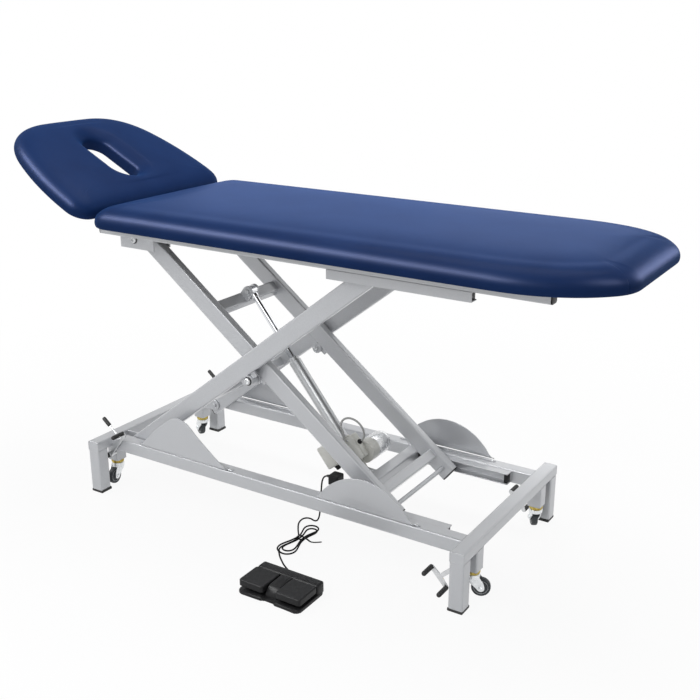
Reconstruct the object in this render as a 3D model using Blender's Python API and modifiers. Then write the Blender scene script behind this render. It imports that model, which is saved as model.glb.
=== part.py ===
"""Electric treatment table: welded base on feet and lowering castors, scissor lift
with a linear actuator, padded main section and a tilting head section with a nose slot."""

import math

import bmesh
import bpy
from mathutils import Matrix, Vector

# Driving dimensions, in metres, with the base rectangle centred on x and y zero.
FIT = 0.0003
RUNNING_FIT = 0.0005
TUBE_WALL = 0.002
TUBE_CORNER = 0.004

BASE_LENGTH = 1.268
BASE_WIDTH = 0.600
BASE_TOP = 0.167
BEAM_WIDTH = 0.040
BEAM_HEIGHT = 0.030
RAIL_SIZE = 0.040
RAIL_SETBACK = 0.060
RAIL_OUTER = BASE_WIDTH / 2 - RAIL_SETBACK
LEG_SIZE = 0.040
FOOT_CAP_HEIGHT = 0.008
BASE_TUBE_SIZE = 0.040
BASE_TUBE_TO_ROLLER = 0.121

ARM_HEIGHT = 0.052
ARM_WIDTH = 0.025
ARM_LENGTH = 1.045
ARM_OVERHANG = 0.024
ARM_CENTRE_DROP = 0.040
ARM_TO_RAIL = 0.0025
ARM_SPACING = 0.0075
OUTER_ARM_FACE = RAIL_OUTER - RAIL_SIZE - ARM_TO_RAIL
INNER_ARM_FACE = OUTER_ARM_FACE - ARM_WIDTH - ARM_SPACING
PIVOT_SETBACK = 0.107
PIVOT_DROP = 0.020
LOWER_PIVOT = (PIVOT_SETBACK - BASE_LENGTH / 2, BASE_TOP - PIVOT_DROP)

BASE_ROLLER_RADIUS = 0.0135
TOP_ROLLER_RADIUS = 0.0095
CHANNEL_WALL = 0.0025
CHANNEL_BEHIND = 0.101
CHANNEL_AHEAD = 0.190
SLIDE_BEHIND = 0.1018
SLIDE_AHEAD = 0.2972

SIDE_TUBE_SIZE = 0.030
WELD = 0.001
VENT_RADIUS = 0.004
SIDE_TUBE_SETBACK = 0.007
SIDE_TUBE_OUTER = RAIL_OUTER - SIDE_TUBE_SETBACK

PAD_BOTTOM = 0.835
PIVOT_BELOW_PAD = 0.045
UPPER_PIVOT_Z = PAD_BOTTOM - PIVOT_BELOW_PAD
PAD_THICKNESS = 0.059
PAD_CROWN = 0.007
PAD_HALF_WIDTH = 0.322
PAD_SHORT_OF_BASE = 0.079
PAD_PAST_BASE = 0.325
PAD_TAPER_LENGTH = 0.287
PAD_TAPER_BULGE = 0.56
PAD_START = PAD_SHORT_OF_BASE - BASE_LENGTH / 2
PAD_END = BASE_LENGTH / 2 + PAD_PAST_BASE
PAD_TAPER_START = PAD_END - PAD_TAPER_LENGTH
PAD_FOOT_HALF_WIDTH = 0.182
PAD_CORNER = 0.070
PAD_FOOT_CORNER = 0.125
BOARD_THICKNESS = 0.012
BOARD_INSET = 0.030
TUBE_PAST_PAD = 0.025
TUBE_SHORT_OF_PAD = 0.175
SIDE_TUBE_START = PAD_START - TUBE_PAST_PAD
SIDE_TUBE_END = PAD_END - TUBE_SHORT_OF_PAD
HEAD_CROSS_WIDTH = 0.020
HEAD_CROSS_X = SIDE_TUBE_START + 0.0355
MIDDLE_CROSS_X = 0.110
FOOT_CROSS_X = SIDE_TUBE_END - 0.049
BRACKET_BEHIND = 0.053
BRACKET_AHEAD = 0.072
BRACKET_DROP = 0.026
BRACKET_WALL = 0.004

HINGE_PAST_PAD = 0.012
HINGE_BELOW_PAD = 0.020
HEAD_AXIS = (PAD_START - HINGE_PAST_PAD, PAD_BOTTOM - HINGE_BELOW_PAD)
HEAD_ARM_FROM = 0.040
HEAD_ARM_LENGTH = 0.330
HEAD_ARM_LOW = 0.003
HEAD_ARM_EYE = 0.010
HEAD_TILT = 27.0
HEAD_RISE = 0.020
HEAD_PAD_START = 0.0175
HEAD_PAD_END = 0.466
HEAD_TAPER_START = 0.073
HEAD_TAPER_BULGE = 0.336
HEAD_END_HALF_WIDTH = 0.235
HEAD_CORNER = 0.061
HEAD_END_CORNER = 0.212
SLOT_START = 0.135
SLOT_END = 0.345
SLOT_HALF_WIDTH = 0.045

ROD_EYE_ALONG = 0.298
ROD_EYE_RISE = 0.031
TAIL_TO_TUBE = 0.065
SOCKET_REACH = 0.067
TAIL_Z = 0.150
TUBE_FROM_EYE = 0.232
GEAR_LENGTH = 0.075
GEAR_TO_TAIL = 0.030
GEAR_HEIGHT = 0.070
GEAR_RISE = 0.004
BOX_LENGTH = 0.070
BOX_TO_TAIL = 0.052
BOX_REACH = 0.074
BOX_HEIGHT = 0.056
BOX_RISE = -0.017
MOTOR_TO_TAIL = 0.042
MOTOR_RISE = 0.021
MOTOR_REACH = 0.140
ROD_RADIUS = 0.009
HOUSING_TUBE_RADIUS = 0.018
MOTOR_RADIUS = 0.033

CASTOR_SETBACK = 0.096
CASTOR_X = BASE_LENGTH / 2 - BEAM_WIDTH / 2
CASTOR_Y = BASE_WIDTH / 2 - CASTOR_SETBACK
CASTOR_HOUSING = 0.040
HOUSING_BOTTOM = 0.078
WHEEL_RADIUS = 0.025
WHEEL_WIDTH = 0.018
WHEEL_LIFT = 0.003
CASTOR_TRAIL = 0.022
LEVER_SETBACK = 0.011
LEVER_X = CASTOR_X - LEVER_SETBACK
LEVER_Z = 0.108
LEVER_ARM = 0.085
LEVER_CROSS = 0.032
LEVER_GRIP = 0.047
HAND_LEVER_ARM = 0.112
HAND_LEVER_ROD = 0.087
LEVER_GAP = 0.0035
LEVER_FACE = RAIL_OUTER + LEVER_GAP

CORD_RADIUS = 0.0023
CABLE_RADIUS = 0.003


for old in list(bpy.data.objects):
    bpy.data.objects.remove(old, do_unlink=True)
PARTS = bpy.data.collections.new("treatment_table")
CUTTERS = bpy.data.collections.new("cutters")
bpy.context.scene.collection.children.link(PARTS)
bpy.context.scene.collection.children.link(CUTTERS)


def paint(name, colour, metallic, roughness):
    made = bpy.data.materials.new(name)
    made.use_nodes = True
    shader = made.node_tree.nodes["Principled BSDF"]
    shader.inputs["Base Color"].default_value = (*colour, 1.0)
    shader.inputs["Metallic"].default_value = metallic
    shader.inputs["Roughness"].default_value = roughness
    return made


LOOKS = {
    "silver": ((0.50, 0.51, 0.53), 0.3, 0.45),
    "zinc": ((0.62, 0.63, 0.64), 0.9, 0.35),
    "yellow_zinc": ((0.48, 0.38, 0.13), 0.8, 0.35),
    "black": ((0.015, 0.015, 0.016), 0.0, 0.5),
    "vinyl": ((0.035, 0.060, 0.190), 0.0, 0.45),
    "board": ((0.30, 0.22, 0.14), 0.0, 0.8),
    "chrome": ((0.75, 0.76, 0.78), 1.0, 0.15),
    "light_grey": ((0.55, 0.54, 0.49), 0.0, 0.45),
    "tyre": ((0.04, 0.045, 0.05), 0.0, 0.7),
}


# Bodies: an empty on each joint axis carries the pieces that turn or slide with it.
FRAME = bpy.data.objects.new("table_frame", None)
PARTS.objects.link(FRAME)


def body(name, location, turn_y=0.0, turn_z=0.0):
    made = bpy.data.objects.new(name, None)
    PARTS.objects.link(made)
    made.parent = FRAME
    made.location = location
    made.rotation_euler = (0.0, turn_y, turn_z)
    return made


# Drafts: simple shapes placed in the coordinates of their body.
def draft(name, data, centre=(0.0, 0.0, 0.0), turn=(0.0, 0.0, 0.0)):
    made = bpy.data.objects.new(name, data)
    CUTTERS.objects.link(made)
    made.location = centre
    made.rotation_euler = turn
    made.hide_render = True
    made.display_type = "WIRE"
    return made


def round_edges(piece, width, segments=2, angle=40.0):
    edge = piece.modifiers.new("rounded_edges", "BEVEL")
    edge.width = width
    edge.segments = segments
    edge.limit_method = "ANGLE"
    edge.angle_limit = math.radians(angle)
    return piece


def block(size, centre, edge=0.0, turn=(0.0, 0.0, 0.0), segments=2):
    mesh = bpy.data.meshes.new("block")
    shape = bmesh.new()
    bmesh.ops.create_cube(shape, size=1.0)
    bmesh.ops.scale(shape, vec=size, verts=shape.verts)
    shape.to_mesh(mesh)
    shape.free()
    made = draft("block", mesh, centre, turn)
    if edge:
        round_edges(made, edge, segments)
    return made


AXIS_TURN = {"x": Matrix.Rotation(math.pi / 2, 4, "Y"), "y": Matrix.Rotation(math.pi / 2, 4, "X"),
             "z": Matrix.Identity(4)}


def rod(radius, length, centre, axis="y", segments=16, edge=0.0):
    mesh = bpy.data.meshes.new("rod")
    shape = bmesh.new()
    bmesh.ops.create_cone(shape, cap_ends=True, segments=segments, radius1=radius, radius2=radius,
                          depth=length, matrix=AXIS_TURN[axis])
    shape.to_mesh(mesh)
    shape.free()
    made = draft("rod", mesh, centre)
    if edge:
        round_edges(made, edge, 1, 60.0)
    return made


def curve_mesh(curve):
    holder = bpy.data.objects.new("outline", curve)
    CUTTERS.objects.link(holder)
    bpy.context.view_layer.update()
    ready = holder.evaluated_get(bpy.context.evaluated_depsgraph_get())
    mesh = bpy.data.meshes.new_from_object(ready)
    bpy.data.objects.remove(holder, do_unlink=True)
    shape = bmesh.new()
    shape.from_mesh(mesh)
    bmesh.ops.remove_doubles(shape, verts=shape.verts, dist=0.00001)
    bmesh.ops.recalc_face_normals(shape, faces=shape.faces)
    shape.to_mesh(mesh)
    shape.free()
    return mesh


def flat_solid(outlines, thickness):
    """Closed outlines in the curve's plane, the first one outside and the rest as holes."""
    curve = bpy.data.curves.new("outline", "CURVE")
    curve.dimensions = "2D"
    curve.fill_mode = "BOTH"
    curve.extrude = thickness / 2
    for points in outlines:
        line = curve.splines.new("POLY")
        line.points.add(len(points) - 1)
        for spot, (u, v) in zip(line.points, points):
            spot.co = (u, v, 0.0, 1.0)
        line.use_cyclic_u = True
    return curve_mesh(curve)


def arc(centre, radius, start, end, steps):
    turns = [math.radians(start + (end - start) * i / steps) for i in range(steps + 1)]
    return [(centre[0] + radius * math.cos(t), centre[1] + radius * math.sin(t)) for t in turns]


def rounded_rectangle(width, height, radius, steps=2):
    u, v = width / 2 - radius, height / 2 - radius
    points = []
    for centre, start in (((u, v), 0), ((-u, v), 90), ((-u, -v), 180), ((u, -v), 270)):
        points += arc(centre, radius, start, start + 90, steps)
    return points


TUBE_TURN = {"x": Matrix(((0, 0, 1, 0), (1, 0, 0, 0), (0, 1, 0, 0), (0, 0, 0, 1))),
             "y": Matrix(((1, 0, 0, 0), (0, 0, -1, 0), (0, 1, 0, 0), (0, 0, 0, 1))),
             "z": Matrix.Identity(4)}


def tube(length, width, height, centre, axis, wall=TUBE_WALL, turn=(0.0, 0.0, 0.0)):
    """Open-ended rectangular tube; width runs level and height runs up for axis x and y."""
    outer = rounded_rectangle(width, height, TUBE_CORNER)
    inner = rounded_rectangle(width - 2 * wall, height - 2 * wall, TUBE_CORNER - wall, 1)
    mesh = flat_solid([outer, inner], length)
    mesh.transform(TUBE_TURN[axis])
    return draft("tube", mesh, centre, turn)


PLATE_TURN = Matrix(((1, 0, 0, 0), (0, 0, -1, 0), (0, 1, 0, 0), (0, 0, 0, 1)))


def upright_plate(outlines, thickness, y, centre=(0.0, 0.0)):
    """Plate in the x-z plane; its outline points are (x, z)."""
    mesh = flat_solid(outlines, thickness)
    mesh.transform(PLATE_TURN)
    return draft("plate", mesh, (centre[0], y, centre[1]))


def profile_bar(outline, length, centre, axis="x"):
    """Open section such as a channel, its outline given as (y, z) for axis x."""
    mesh = flat_solid([outline], length)
    mesh.transform(TUBE_TURN[axis])
    return draft("section", mesh, centre)


def level_plate(outlines, thickness, centre):
    return draft("board", flat_solid(outlines, thickness), centre)


def turned(profile, centre, axis="z", steps=24):
    """Solid of revolution from (radius, height) points."""
    mesh = bpy.data.meshes.new("turned")
    shape = bmesh.new()
    spots = [shape.verts.new((r, 0.0, z)) for r, z in profile]
    for first, second in zip(spots, spots[1:] + spots[:1]):
        shape.edges.new((first, second))
    bmesh.ops.spin(shape, geom=shape.verts[:] + shape.edges[:], cent=(0, 0, 0), axis=(0, 0, 1),
                   angle=2 * math.pi, steps=steps, use_merge=True, use_duplicate=False)
    bmesh.ops.remove_doubles(shape, verts=shape.verts, dist=0.00001)
    bmesh.ops.recalc_face_normals(shape, faces=shape.faces)
    shape.to_mesh(mesh)
    shape.free()
    mesh.transform(AXIS_TURN[axis])
    return draft("turned", mesh, centre)


def loft(rings):
    """Soft form through stacked rings of equal point count, closed at both ends."""
    mesh = bpy.data.meshes.new("loft")
    shape = bmesh.new()
    rows = [[shape.verts.new(spot) for spot in ring] for ring in rings]
    count = len(rows[0])
    for low, high in zip(rows, rows[1:]):
        for i in range(count):
            j = (i + 1) % count
            shape.faces.new((low[i], low[j], high[j], high[i]))
    shape.faces.new(list(reversed(rows[0])))
    shape.faces.new(rows[-1])
    bmesh.ops.recalc_face_normals(shape, faces=shape.faces)
    shape.to_mesh(mesh)
    shape.free()
    return draft("loft", mesh)


def wire(points, radius, sides=1):
    """Round cord through its points, one unbroken tube with closed ends."""
    curve = bpy.data.curves.new("wire", "CURVE")
    curve.dimensions = "3D"
    curve.bevel_depth = radius
    curve.bevel_resolution = sides
    curve.use_fill_caps = True
    line = curve.splines.new("POLY")
    line.points.add(len(points) - 1)
    for spot, place in zip(line.points, points):
        spot.co = (*place, 1.0)
    return draft("wire", curve_mesh(curve))


def smooth_route(points, step):
    """Even points, step apart, on a smooth curve through the route points."""
    spots = [Vector(p) for p in points]
    spots = [spots[0] * 2 - spots[1]] + spots + [spots[-1] * 2 - spots[-2]]
    fine = []
    for i in range(1, len(spots) - 2):
        a, b, c, d = spots[i - 1:i + 3]
        for k in range(24):
            t = k / 24
            fine.append(0.5 * (2 * b + (c - a) * t + (2 * a - 5 * b + 4 * c - d) * t * t
                               + (3 * b - a - 3 * c + d) * t ** 3))
    fine.append(spots[-2])
    total = sum((q - p).length for p, q in zip(fine, fine[1:]))
    count = max(2, round(total / step))
    even = [fine[0]]
    run = 0.0
    for p, q in zip(fine, fine[1:]):
        run += (q - p).length
        if run >= total / count * len(even) and len(even) < count:
            even.append(q)
    even.append(fine[-1])
    return even, total


def settled(piece):
    """Finished mesh of a draft, in the coordinates of its body."""
    bpy.context.view_layer.update()
    ready = piece.evaluated_get(bpy.context.evaluated_depsgraph_get())
    mesh = bpy.data.meshes.new_from_object(ready)
    mesh.transform(piece.matrix_basis)
    return mesh


def piece(name, look, owner, drafts, joined=(), cut=(), solver="EXACT"):
    """One named piece: its drafts, with more shapes welded on and others cut away."""
    shape = bmesh.new()
    for item in drafts:
        shape.from_mesh(settled(item))
        bpy.data.objects.remove(item, do_unlink=True)
    mesh = bpy.data.meshes.new(name)
    shape.to_mesh(mesh)
    shape.free()
    made = bpy.data.objects.new(name, mesh)
    PARTS.objects.link(made)
    made.parent = owner
    made.data.materials.append(paint(name + "_finish", *LOOKS[look]))
    made.data.shade_smooth()
    made.data.set_sharp_from_angle(angle=math.radians(35.0))
    for action, helpers in (("UNION", joined), ("DIFFERENCE", cut)):
        for helper in helpers:
            helper.parent = owner
            helper.name = name + ("_weld" if action == "UNION" else "_cut")
            change = made.modifiers.new(action.lower(), "BOOLEAN")
            change.operation = action
            change.solver = solver
            change.object = helper
    return made


SIDES = (-1, 1)
ENDS = (-1, 1)

# Scissor points at rest: the arms cross below their middles.
pivot_x, pivot_z = LOWER_PIVOT
rest = math.asin((UPPER_PIVOT_Z - pivot_z) / ARM_LENGTH)
run, climb = math.cos(rest), math.sin(rest)
cross_x = pivot_x + ARM_LENGTH / 2 * run + ARM_CENTRE_DROP * climb
cross_z = pivot_z + ARM_LENGTH / 2 * climb - ARM_CENTRE_DROP * run
inner_mid_x = cross_x + ARM_CENTRE_DROP * climb
inner_top_x = inner_mid_x - ARM_LENGTH / 2 * run
inner_foot_x = inner_mid_x + ARM_LENGTH / 2 * run
outer_top_x = pivot_x + ARM_LENGTH * run
BASE_TUBE_X = inner_foot_x - BASE_TUBE_TO_ROLLER
TAIL = (BASE_TUBE_X - TAIL_TO_TUBE, TAIL_Z)

# Base: one welded frame of beams, rails, legs, castor housings, cross tube and pivot plates.
beam_x = BASE_LENGTH / 2 - BEAM_WIDTH / 2
beam_z = BASE_TOP - BEAM_HEIGHT / 2
beam_bottom = BASE_TOP - BEAM_HEIGHT
beam_inner = BASE_LENGTH / 2 - BEAM_WIDTH
rail_top = BASE_TOP - 0.0005
rail_y = RAIL_OUTER - RAIL_SIZE / 2
rail_z = rail_top - RAIL_SIZE / 2
rail_inner = RAIL_OUTER - RAIL_SIZE
leg_y = BASE_WIDTH / 2 - LEG_SIZE / 2
leg_low = FOOT_CAP_HEIGHT + FIT
leg_high = beam_bottom + WELD
base_tube_z = rail_top - 0.001 - BASE_TUBE_SIZE / 2
base_tube_face = BASE_TUBE_X - BASE_TUBE_SIZE / 2
pivot_bolt_radius = 0.007
plate_out = OUTER_ARM_FACE - ARM_WIDTH - 0.001
plate_thick = 0.004

welds = []
vents = []
for end in ENDS:
    vents.append(rod(VENT_RADIUS, 0.012, (end * beam_x, 0, beam_bottom), "z", 10))
    welds.append(tube(BASE_WIDTH, BEAM_WIDTH, BEAM_HEIGHT, (end * beam_x, 0, beam_z), "y"))
    for side in SIDES:
        welds.append(block((BEAM_WIDTH - 0.002, 0.004, BEAM_HEIGHT - 0.002),
                           (end * beam_x, side * (BASE_WIDTH / 2 - 0.0025), beam_z)))
        welds.append(tube(leg_high - leg_low, LEG_SIZE, LEG_SIZE,
                          (end * beam_x, side * leg_y, (leg_low + leg_high) / 2), "z"))
        welds.append(tube(leg_high - HOUSING_BOTTOM, CASTOR_HOUSING, CASTOR_HOUSING,
                          (end * CASTOR_X, side * CASTOR_Y, (HOUSING_BOTTOM + leg_high) / 2), "z"))
for side in SIDES:
    welds.append(tube(2 * (beam_inner + WELD), RAIL_SIZE, RAIL_SIZE, (0, side * rail_y, rail_z), "x"))
    eye = arc((pivot_x, pivot_z), 0.018, -90, 90, 8)
    back = [(-beam_inner - WELD, pivot_z + 0.017), (-beam_inner - WELD, pivot_z - 0.018)]
    hole = arc((pivot_x, pivot_z), pivot_bolt_radius + FIT, 0, 337.5, 15)
    welds.append(upright_plate([eye + back, hole], plate_thick, side * (plate_out - plate_thick / 2)))
welds.append(tube(2 * (rail_inner + WELD), BASE_TUBE_SIZE, BASE_TUBE_SIZE,
                  (BASE_TUBE_X, 0, base_tube_z), "y"))
vents.append(rod(VENT_RADIUS, 0.012, (BASE_TUBE_X, 0.06, base_tube_z - BASE_TUBE_SIZE / 2), "z", 10))
lug = arc(TAIL, 0.014, 90, 270, 8)
lug += [(base_tube_face + WELD, TAIL[1] - 0.014), (base_tube_face + WELD, TAIL[1] + 0.012)]
welds.append(upright_plate([lug], 0.010, 0.0))
piece("base_frame", "silver", FRAME, welds[:1], joined=welds[1:], cut=vents)

for end, end_word in ((-1, "head"), (1, "foot")):
    for side, side_word in ((-1, "near"), (1, "far")):
        piece("foot_cap_%s_%s" % (side_word, end_word), "black", FRAME,
              [block((LEG_SIZE + 0.002, LEG_SIZE + 0.002, FOOT_CAP_HEIGHT),
                     (end * (beam_x - 0.001), side * (leg_y - 0.001), FOOT_CAP_HEIGHT / 2), 0.0015)])
for side, word in ((-1, "near"), (1, "far")):
    bolt_in, bolt_out = plate_out - plate_thick - 0.006, rail_inner - FIT
    piece("lower_pivot_bolt_" + word, "zinc", FRAME,
          [rod(pivot_bolt_radius, bolt_out - bolt_in,
               (pivot_x, side * (bolt_in + bolt_out) / 2, pivot_z), "y", 16, 0.0008)])


# Roller channels: open sections on the inner faces of the rails, foot half.
def channel_outline(side, web_face, depth, height, wall):
    """C section (y, z) about its middle height, its web outside and its mouth inside."""
    out, web = side * web_face, side * (web_face - wall)
    mouth = side * (web_face - depth)
    h = height / 2
    points = [(out, -h), (out, h), (mouth, h), (mouth, h - wall), (web, h - wall),
              (web, -h + wall), (mouth, -h + wall), (mouth, -h)]
    return points if side < 0 else points[::-1]


base_channel_start, base_channel_end = inner_foot_x - CHANNEL_BEHIND, inner_foot_x + CHANNEL_AHEAD
base_channel_height = 2 * (BASE_ROLLER_RADIUS + RUNNING_FIT + CHANNEL_WALL)
for side, word in ((-1, "near"), (1, "far")):
    outline = channel_outline(side, rail_inner - FIT, 0.027, base_channel_height, CHANNEL_WALL)
    piece("roller_channel_" + word, "zinc", FRAME,
          [profile_bar(outline, base_channel_end - base_channel_start,
                       ((base_channel_start + base_channel_end) / 2, 0, LOWER_PIVOT[1]))])

# Guard plates: flat plates standing on the rails over the arm ends.
guard_z = rail_top + FIT
HEAD_GUARD_EDGE = ((0.389, 0.0), (0.367, 0.010), (0.286, 0.071), (0.247, 0.106), (0.230, 0.116),
                   (0.209, 0.120), (0.189, 0.117), (0.169, 0.107), (0.115, 0.064), (0.050, 0.0))
FOOT_GUARD_EDGE = ((0.119, 0.0), (0.119, 0.004), (0.104, 0.008), (0.086, 0.032), (0.059, 0.057),
                   (0.024, 0.077), (-0.016, 0.088), (-0.058, 0.088), (-0.099, 0.076),
                   (-0.134, 0.055), (-0.161, 0.030), (-0.181, 0.0))
head_guard = [(pivot_x + along, guard_z + up) for along, up in HEAD_GUARD_EDGE]
foot_guard = [(inner_foot_x + along, guard_z + up) for along, up in FOOT_GUARD_EDGE]
guard_thick = 0.003
for end_word, outline in (("head", head_guard), ("foot", foot_guard)):
    for side, word in ((-1, "near"), (1, "far")):
        piece("guard_%s_%s" % (word, end_word), "silver", FRAME,
              [upright_plate([outline], guard_thick, side * (RAIL_OUTER - guard_thick / 2))])

# Scissor: outer arms turn on the base, inner arms cross them below their middles.
outer_body = body("outer_arms_axis", (pivot_x, 0, pivot_z), -rest)
inner_body = body("inner_arms_axis", (cross_x, 0, cross_z), rest)
top_body = body("top_axis", (inner_top_x, 0, UPPER_PIVOT_Z))

arm_full = ARM_LENGTH + 2 * ARM_OVERHANG
boss_radius = 0.016
axle_radius = 0.0065
scissor_bolt = 0.006


def arm_drafts(face, start, middle):
    """Two tubes with a boss below each middle, and the holes of their three pins."""
    joined, holes = [], []
    for side in SIDES:
        y = side * (face - ARM_WIDTH / 2)
        joined.append(tube(arm_full, ARM_WIDTH, ARM_HEIGHT,
                           (start + ARM_LENGTH / 2, y, middle), "x"))
        joined.append(block((0.060, 0.008, 0.020),
                            (start + ARM_LENGTH / 2, y, middle - ARM_HEIGHT / 2 - 0.006)))
        joined.append(rod(boss_radius, ARM_WIDTH,
                          (start + ARM_LENGTH / 2, y, middle - ARM_CENTRE_DROP), "y", 20))
        holes.append(rod(pivot_bolt_radius + FIT, 0.06, (start, y, middle)))
        holes.append(rod(axle_radius + FIT, 0.06, (start + ARM_LENGTH, y, middle)))
        holes.append(rod(scissor_bolt + FIT, 0.06,
                         (start + ARM_LENGTH / 2, y, middle - ARM_CENTRE_DROP)))
    return joined, holes


def vented_tube(half, width, height, x, z):
    """Cross tube welded between two arms, with a small vent hole below."""
    made = tube(2 * (half + WELD), width, height, (x, 0, z), "y")
    return made, rod(VENT_RADIUS, 0.012, (x, half - 0.030, z - height / 2), "z", 10)


outer_welds, outer_holes = arm_drafts(OUTER_ARM_FACE, 0.0, 0.0)
brace, brace_vent = vented_tube(OUTER_ARM_FACE - ARM_WIDTH, 0.030, 0.030, 0.340, -0.008)
piece("outer_arm_frame", "silver", outer_body, outer_welds[:1], joined=outer_welds[1:] + [brace],
      cut=outer_holes + [brace_vent])

bolt_in = INNER_ARM_FACE - ARM_WIDTH - 0.006
bolt_out = OUTER_ARM_FACE + FIT
bolt_half = (bolt_out - bolt_in) / 2
for side, word in ((-1, "near"), (1, "far")):
    shape = [(0.0, -bolt_half), (0.0, bolt_half + 0.008), (0.010, bolt_half + 0.008),
             (0.011, bolt_half + 0.007), (0.011, bolt_half), (scissor_bolt, bolt_half),
             (scissor_bolt, -bolt_half)]
    made = turned(shape, (ARM_LENGTH / 2, side * (bolt_in + bolt_out) / 2, -ARM_CENTRE_DROP), "y", 16)
    made.rotation_euler = (0.0, 0.0, math.pi if side > 0 else 0.0)
    piece("scissor_bolt_" + word, "black", outer_body, [made])

# Rollers of the outer arms run in the slides under the top frame.
slide_wall = CHANNEL_WALL
slide_height = 2 * (TOP_ROLLER_RADIUS + RUNNING_FIT + slide_wall)
slide_web = SIDE_TUBE_OUTER
roller_out = slide_web - slide_wall - 0.001
roller_in = roller_out - 0.020


def roller_axle(name, owner_body, half_in, half_out, axle, roller):
    spots = [(0.0, -half_out), (roller, -half_out), (roller, -half_in), (axle, -half_in),
             (axle, half_in), (roller, half_in), (roller, half_out), (0.0, half_out)]
    piece(name, "chrome", owner_body, [turned(spots, (0, 0, 0), "y", 20)])


top_roller_body = body("top_rollers_axis", (outer_top_x, 0, UPPER_PIVOT_Z))
roller_axle("top_roller_axle", top_roller_body, roller_in, roller_out, axle_radius, TOP_ROLLER_RADIUS)
base_roller_body = body("base_rollers_axis", (inner_foot_x, 0, pivot_z))
base_roller_out = rail_inner - FIT - CHANNEL_WALL - 0.001
roller_axle("base_roller_axle", base_roller_body, base_roller_out - 0.020, base_roller_out,
            axle_radius, BASE_ROLLER_RADIUS)

# Inner arms: x runs down the arm from the crossing; the centre line lies above it.
inner_welds, inner_holes = arm_drafts(INNER_ARM_FACE, -ARM_LENGTH / 2, ARM_CENTRE_DROP)
inner_half = INNER_ARM_FACE - ARM_WIDTH
eye_x = -ARM_LENGTH / 2 + ROD_EYE_ALONG
eye_z = ARM_CENTRE_DROP + ROD_EYE_RISE
ear_thick = 0.006
ear_y = 0.0155
upper_tube_z = ARM_CENTRE_DROP - 0.006
eye_pin = 0.006
upper, upper_vent = vented_tube(inner_half, 0.036, 0.030, eye_x, upper_tube_z)
lower, lower_vent = vented_tube(inner_half, 0.030, 0.030, ARM_LENGTH / 2 - 0.051, ARM_CENTRE_DROP)
inner_welds += [upper, lower]
for side in SIDES:
    outline = arc((eye_x, eye_z), 0.016, 0, 180, 10)
    outline += [(eye_x - 0.016, upper_tube_z + 0.0140), (eye_x + 0.016, upper_tube_z + 0.0140)]
    hole = arc((eye_x, eye_z), eye_pin + FIT, 0, 337.5, 15)
    inner_welds.append(upright_plate([outline, hole], ear_thick, side * ear_y))
piece("inner_arm_frame", "silver", inner_body, inner_welds[:1], joined=inner_welds[1:],
      cut=inner_holes + [upper_vent, lower_vent])
piece("rod_eye_pin", "zinc", inner_body,
      [rod(eye_pin, 2 * ear_y + ear_thick + 0.008, (eye_x, 0, eye_z), "y", 16, 0.0008)])

# Top frame, in coordinates of the upper pivot of the inner arms: one welded frame.
pad_low = PAD_BOTTOM - UPPER_PIVOT_Z
tube_low = slide_height / 2 - WELD
tube_top = pad_low - FIT
tube_height = tube_top - tube_low
tube_mid_z = (tube_low + tube_top) / 2
tube_y = SIDE_TUBE_OUTER - SIDE_TUBE_SIZE / 2
tube_inner = SIDE_TUBE_OUTER - SIDE_TUBE_SIZE
tube_start = SIDE_TUBE_START - inner_top_x
tube_end = SIDE_TUBE_END - inner_top_x
slide_start = outer_top_x - SLIDE_BEHIND - inner_top_x
slide_end = outer_top_x + SLIDE_AHEAD - inner_top_x
bracket_out = tube_inner + WELD
bracket_in = INNER_ARM_FACE - ARM_WIDTH - 0.006
bracket_wall = BRACKET_WALL
bracket_low, bracket_high = -BRACKET_DROP, tube_top - WELD
top_welds, top_cuts = [], []
for side in SIDES:
    top_welds.append(tube(tube_end - tube_start, SIDE_TUBE_SIZE, tube_height,
                          ((tube_start + tube_end) / 2, side * tube_y, tube_mid_z), "x"))
    top_welds.append(profile_bar(channel_outline(side, slide_web, 0.028, slide_height, slide_wall),
                                 slide_end - slide_start, ((slide_start + slide_end) / 2, 0, 0)))
    out, inside = side * bracket_out, side * bracket_in
    out_in, inside_in = side * (bracket_out - bracket_wall), side * (bracket_in + bracket_wall)
    head_x, foot_x = -BRACKET_BEHIND, BRACKET_AHEAD
    plan = [(foot_x, out), (head_x, out), (head_x, inside), (foot_x, inside), (foot_x, inside_in),
            (head_x + bracket_wall, inside_in), (head_x + bracket_wall, out_in), (foot_x, out_in)]
    top_welds.append(level_plate([plan], bracket_high - bracket_low,
                                 (0, 0, (bracket_low + bracket_high) / 2)))
    top_cuts.append(rod(pivot_bolt_radius + FIT, 0.12, (0, side * (bracket_out + bracket_in) / 2, 0)))
for x, width in ((HEAD_CROSS_X, HEAD_CROSS_WIDTH), (MIDDLE_CROSS_X, SIDE_TUBE_SIZE),
                 (FOOT_CROSS_X, SIDE_TUBE_SIZE)):
    made = tube(2 * (tube_inner + WELD), width, tube_height - 0.002,
                (x - inner_top_x, 0, tube_mid_z), "y")
    top_welds.append(made)
    top_cuts.append(rod(VENT_RADIUS, 0.012, (x - inner_top_x, 0.05, tube_low + 0.001), "z", 10))
piece("top_frame", "silver", top_body, top_welds[:1], joined=top_welds[1:], cut=top_cuts)

bolt_reach = bracket_out - WELD - bracket_in
for side, word in ((-1, "near"), (1, "far")):
    half = bolt_reach / 2
    shape = [(0.0, -half - 0.004), (0.0, half + 0.007), (0.010, half + 0.007), (0.011, half + 0.006),
             (0.011, half + WELD + FIT), (pivot_bolt_radius, half + WELD + FIT),
             (pivot_bolt_radius, -half - 0.004)]
    made = turned(shape, (0, side * (bracket_in + half), 0), "y", 16)
    made.rotation_euler = (0.0, 0.0, math.pi if side > 0 else 0.0)
    piece("lift_bolt_" + word, "zinc", top_body, [made])


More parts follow.
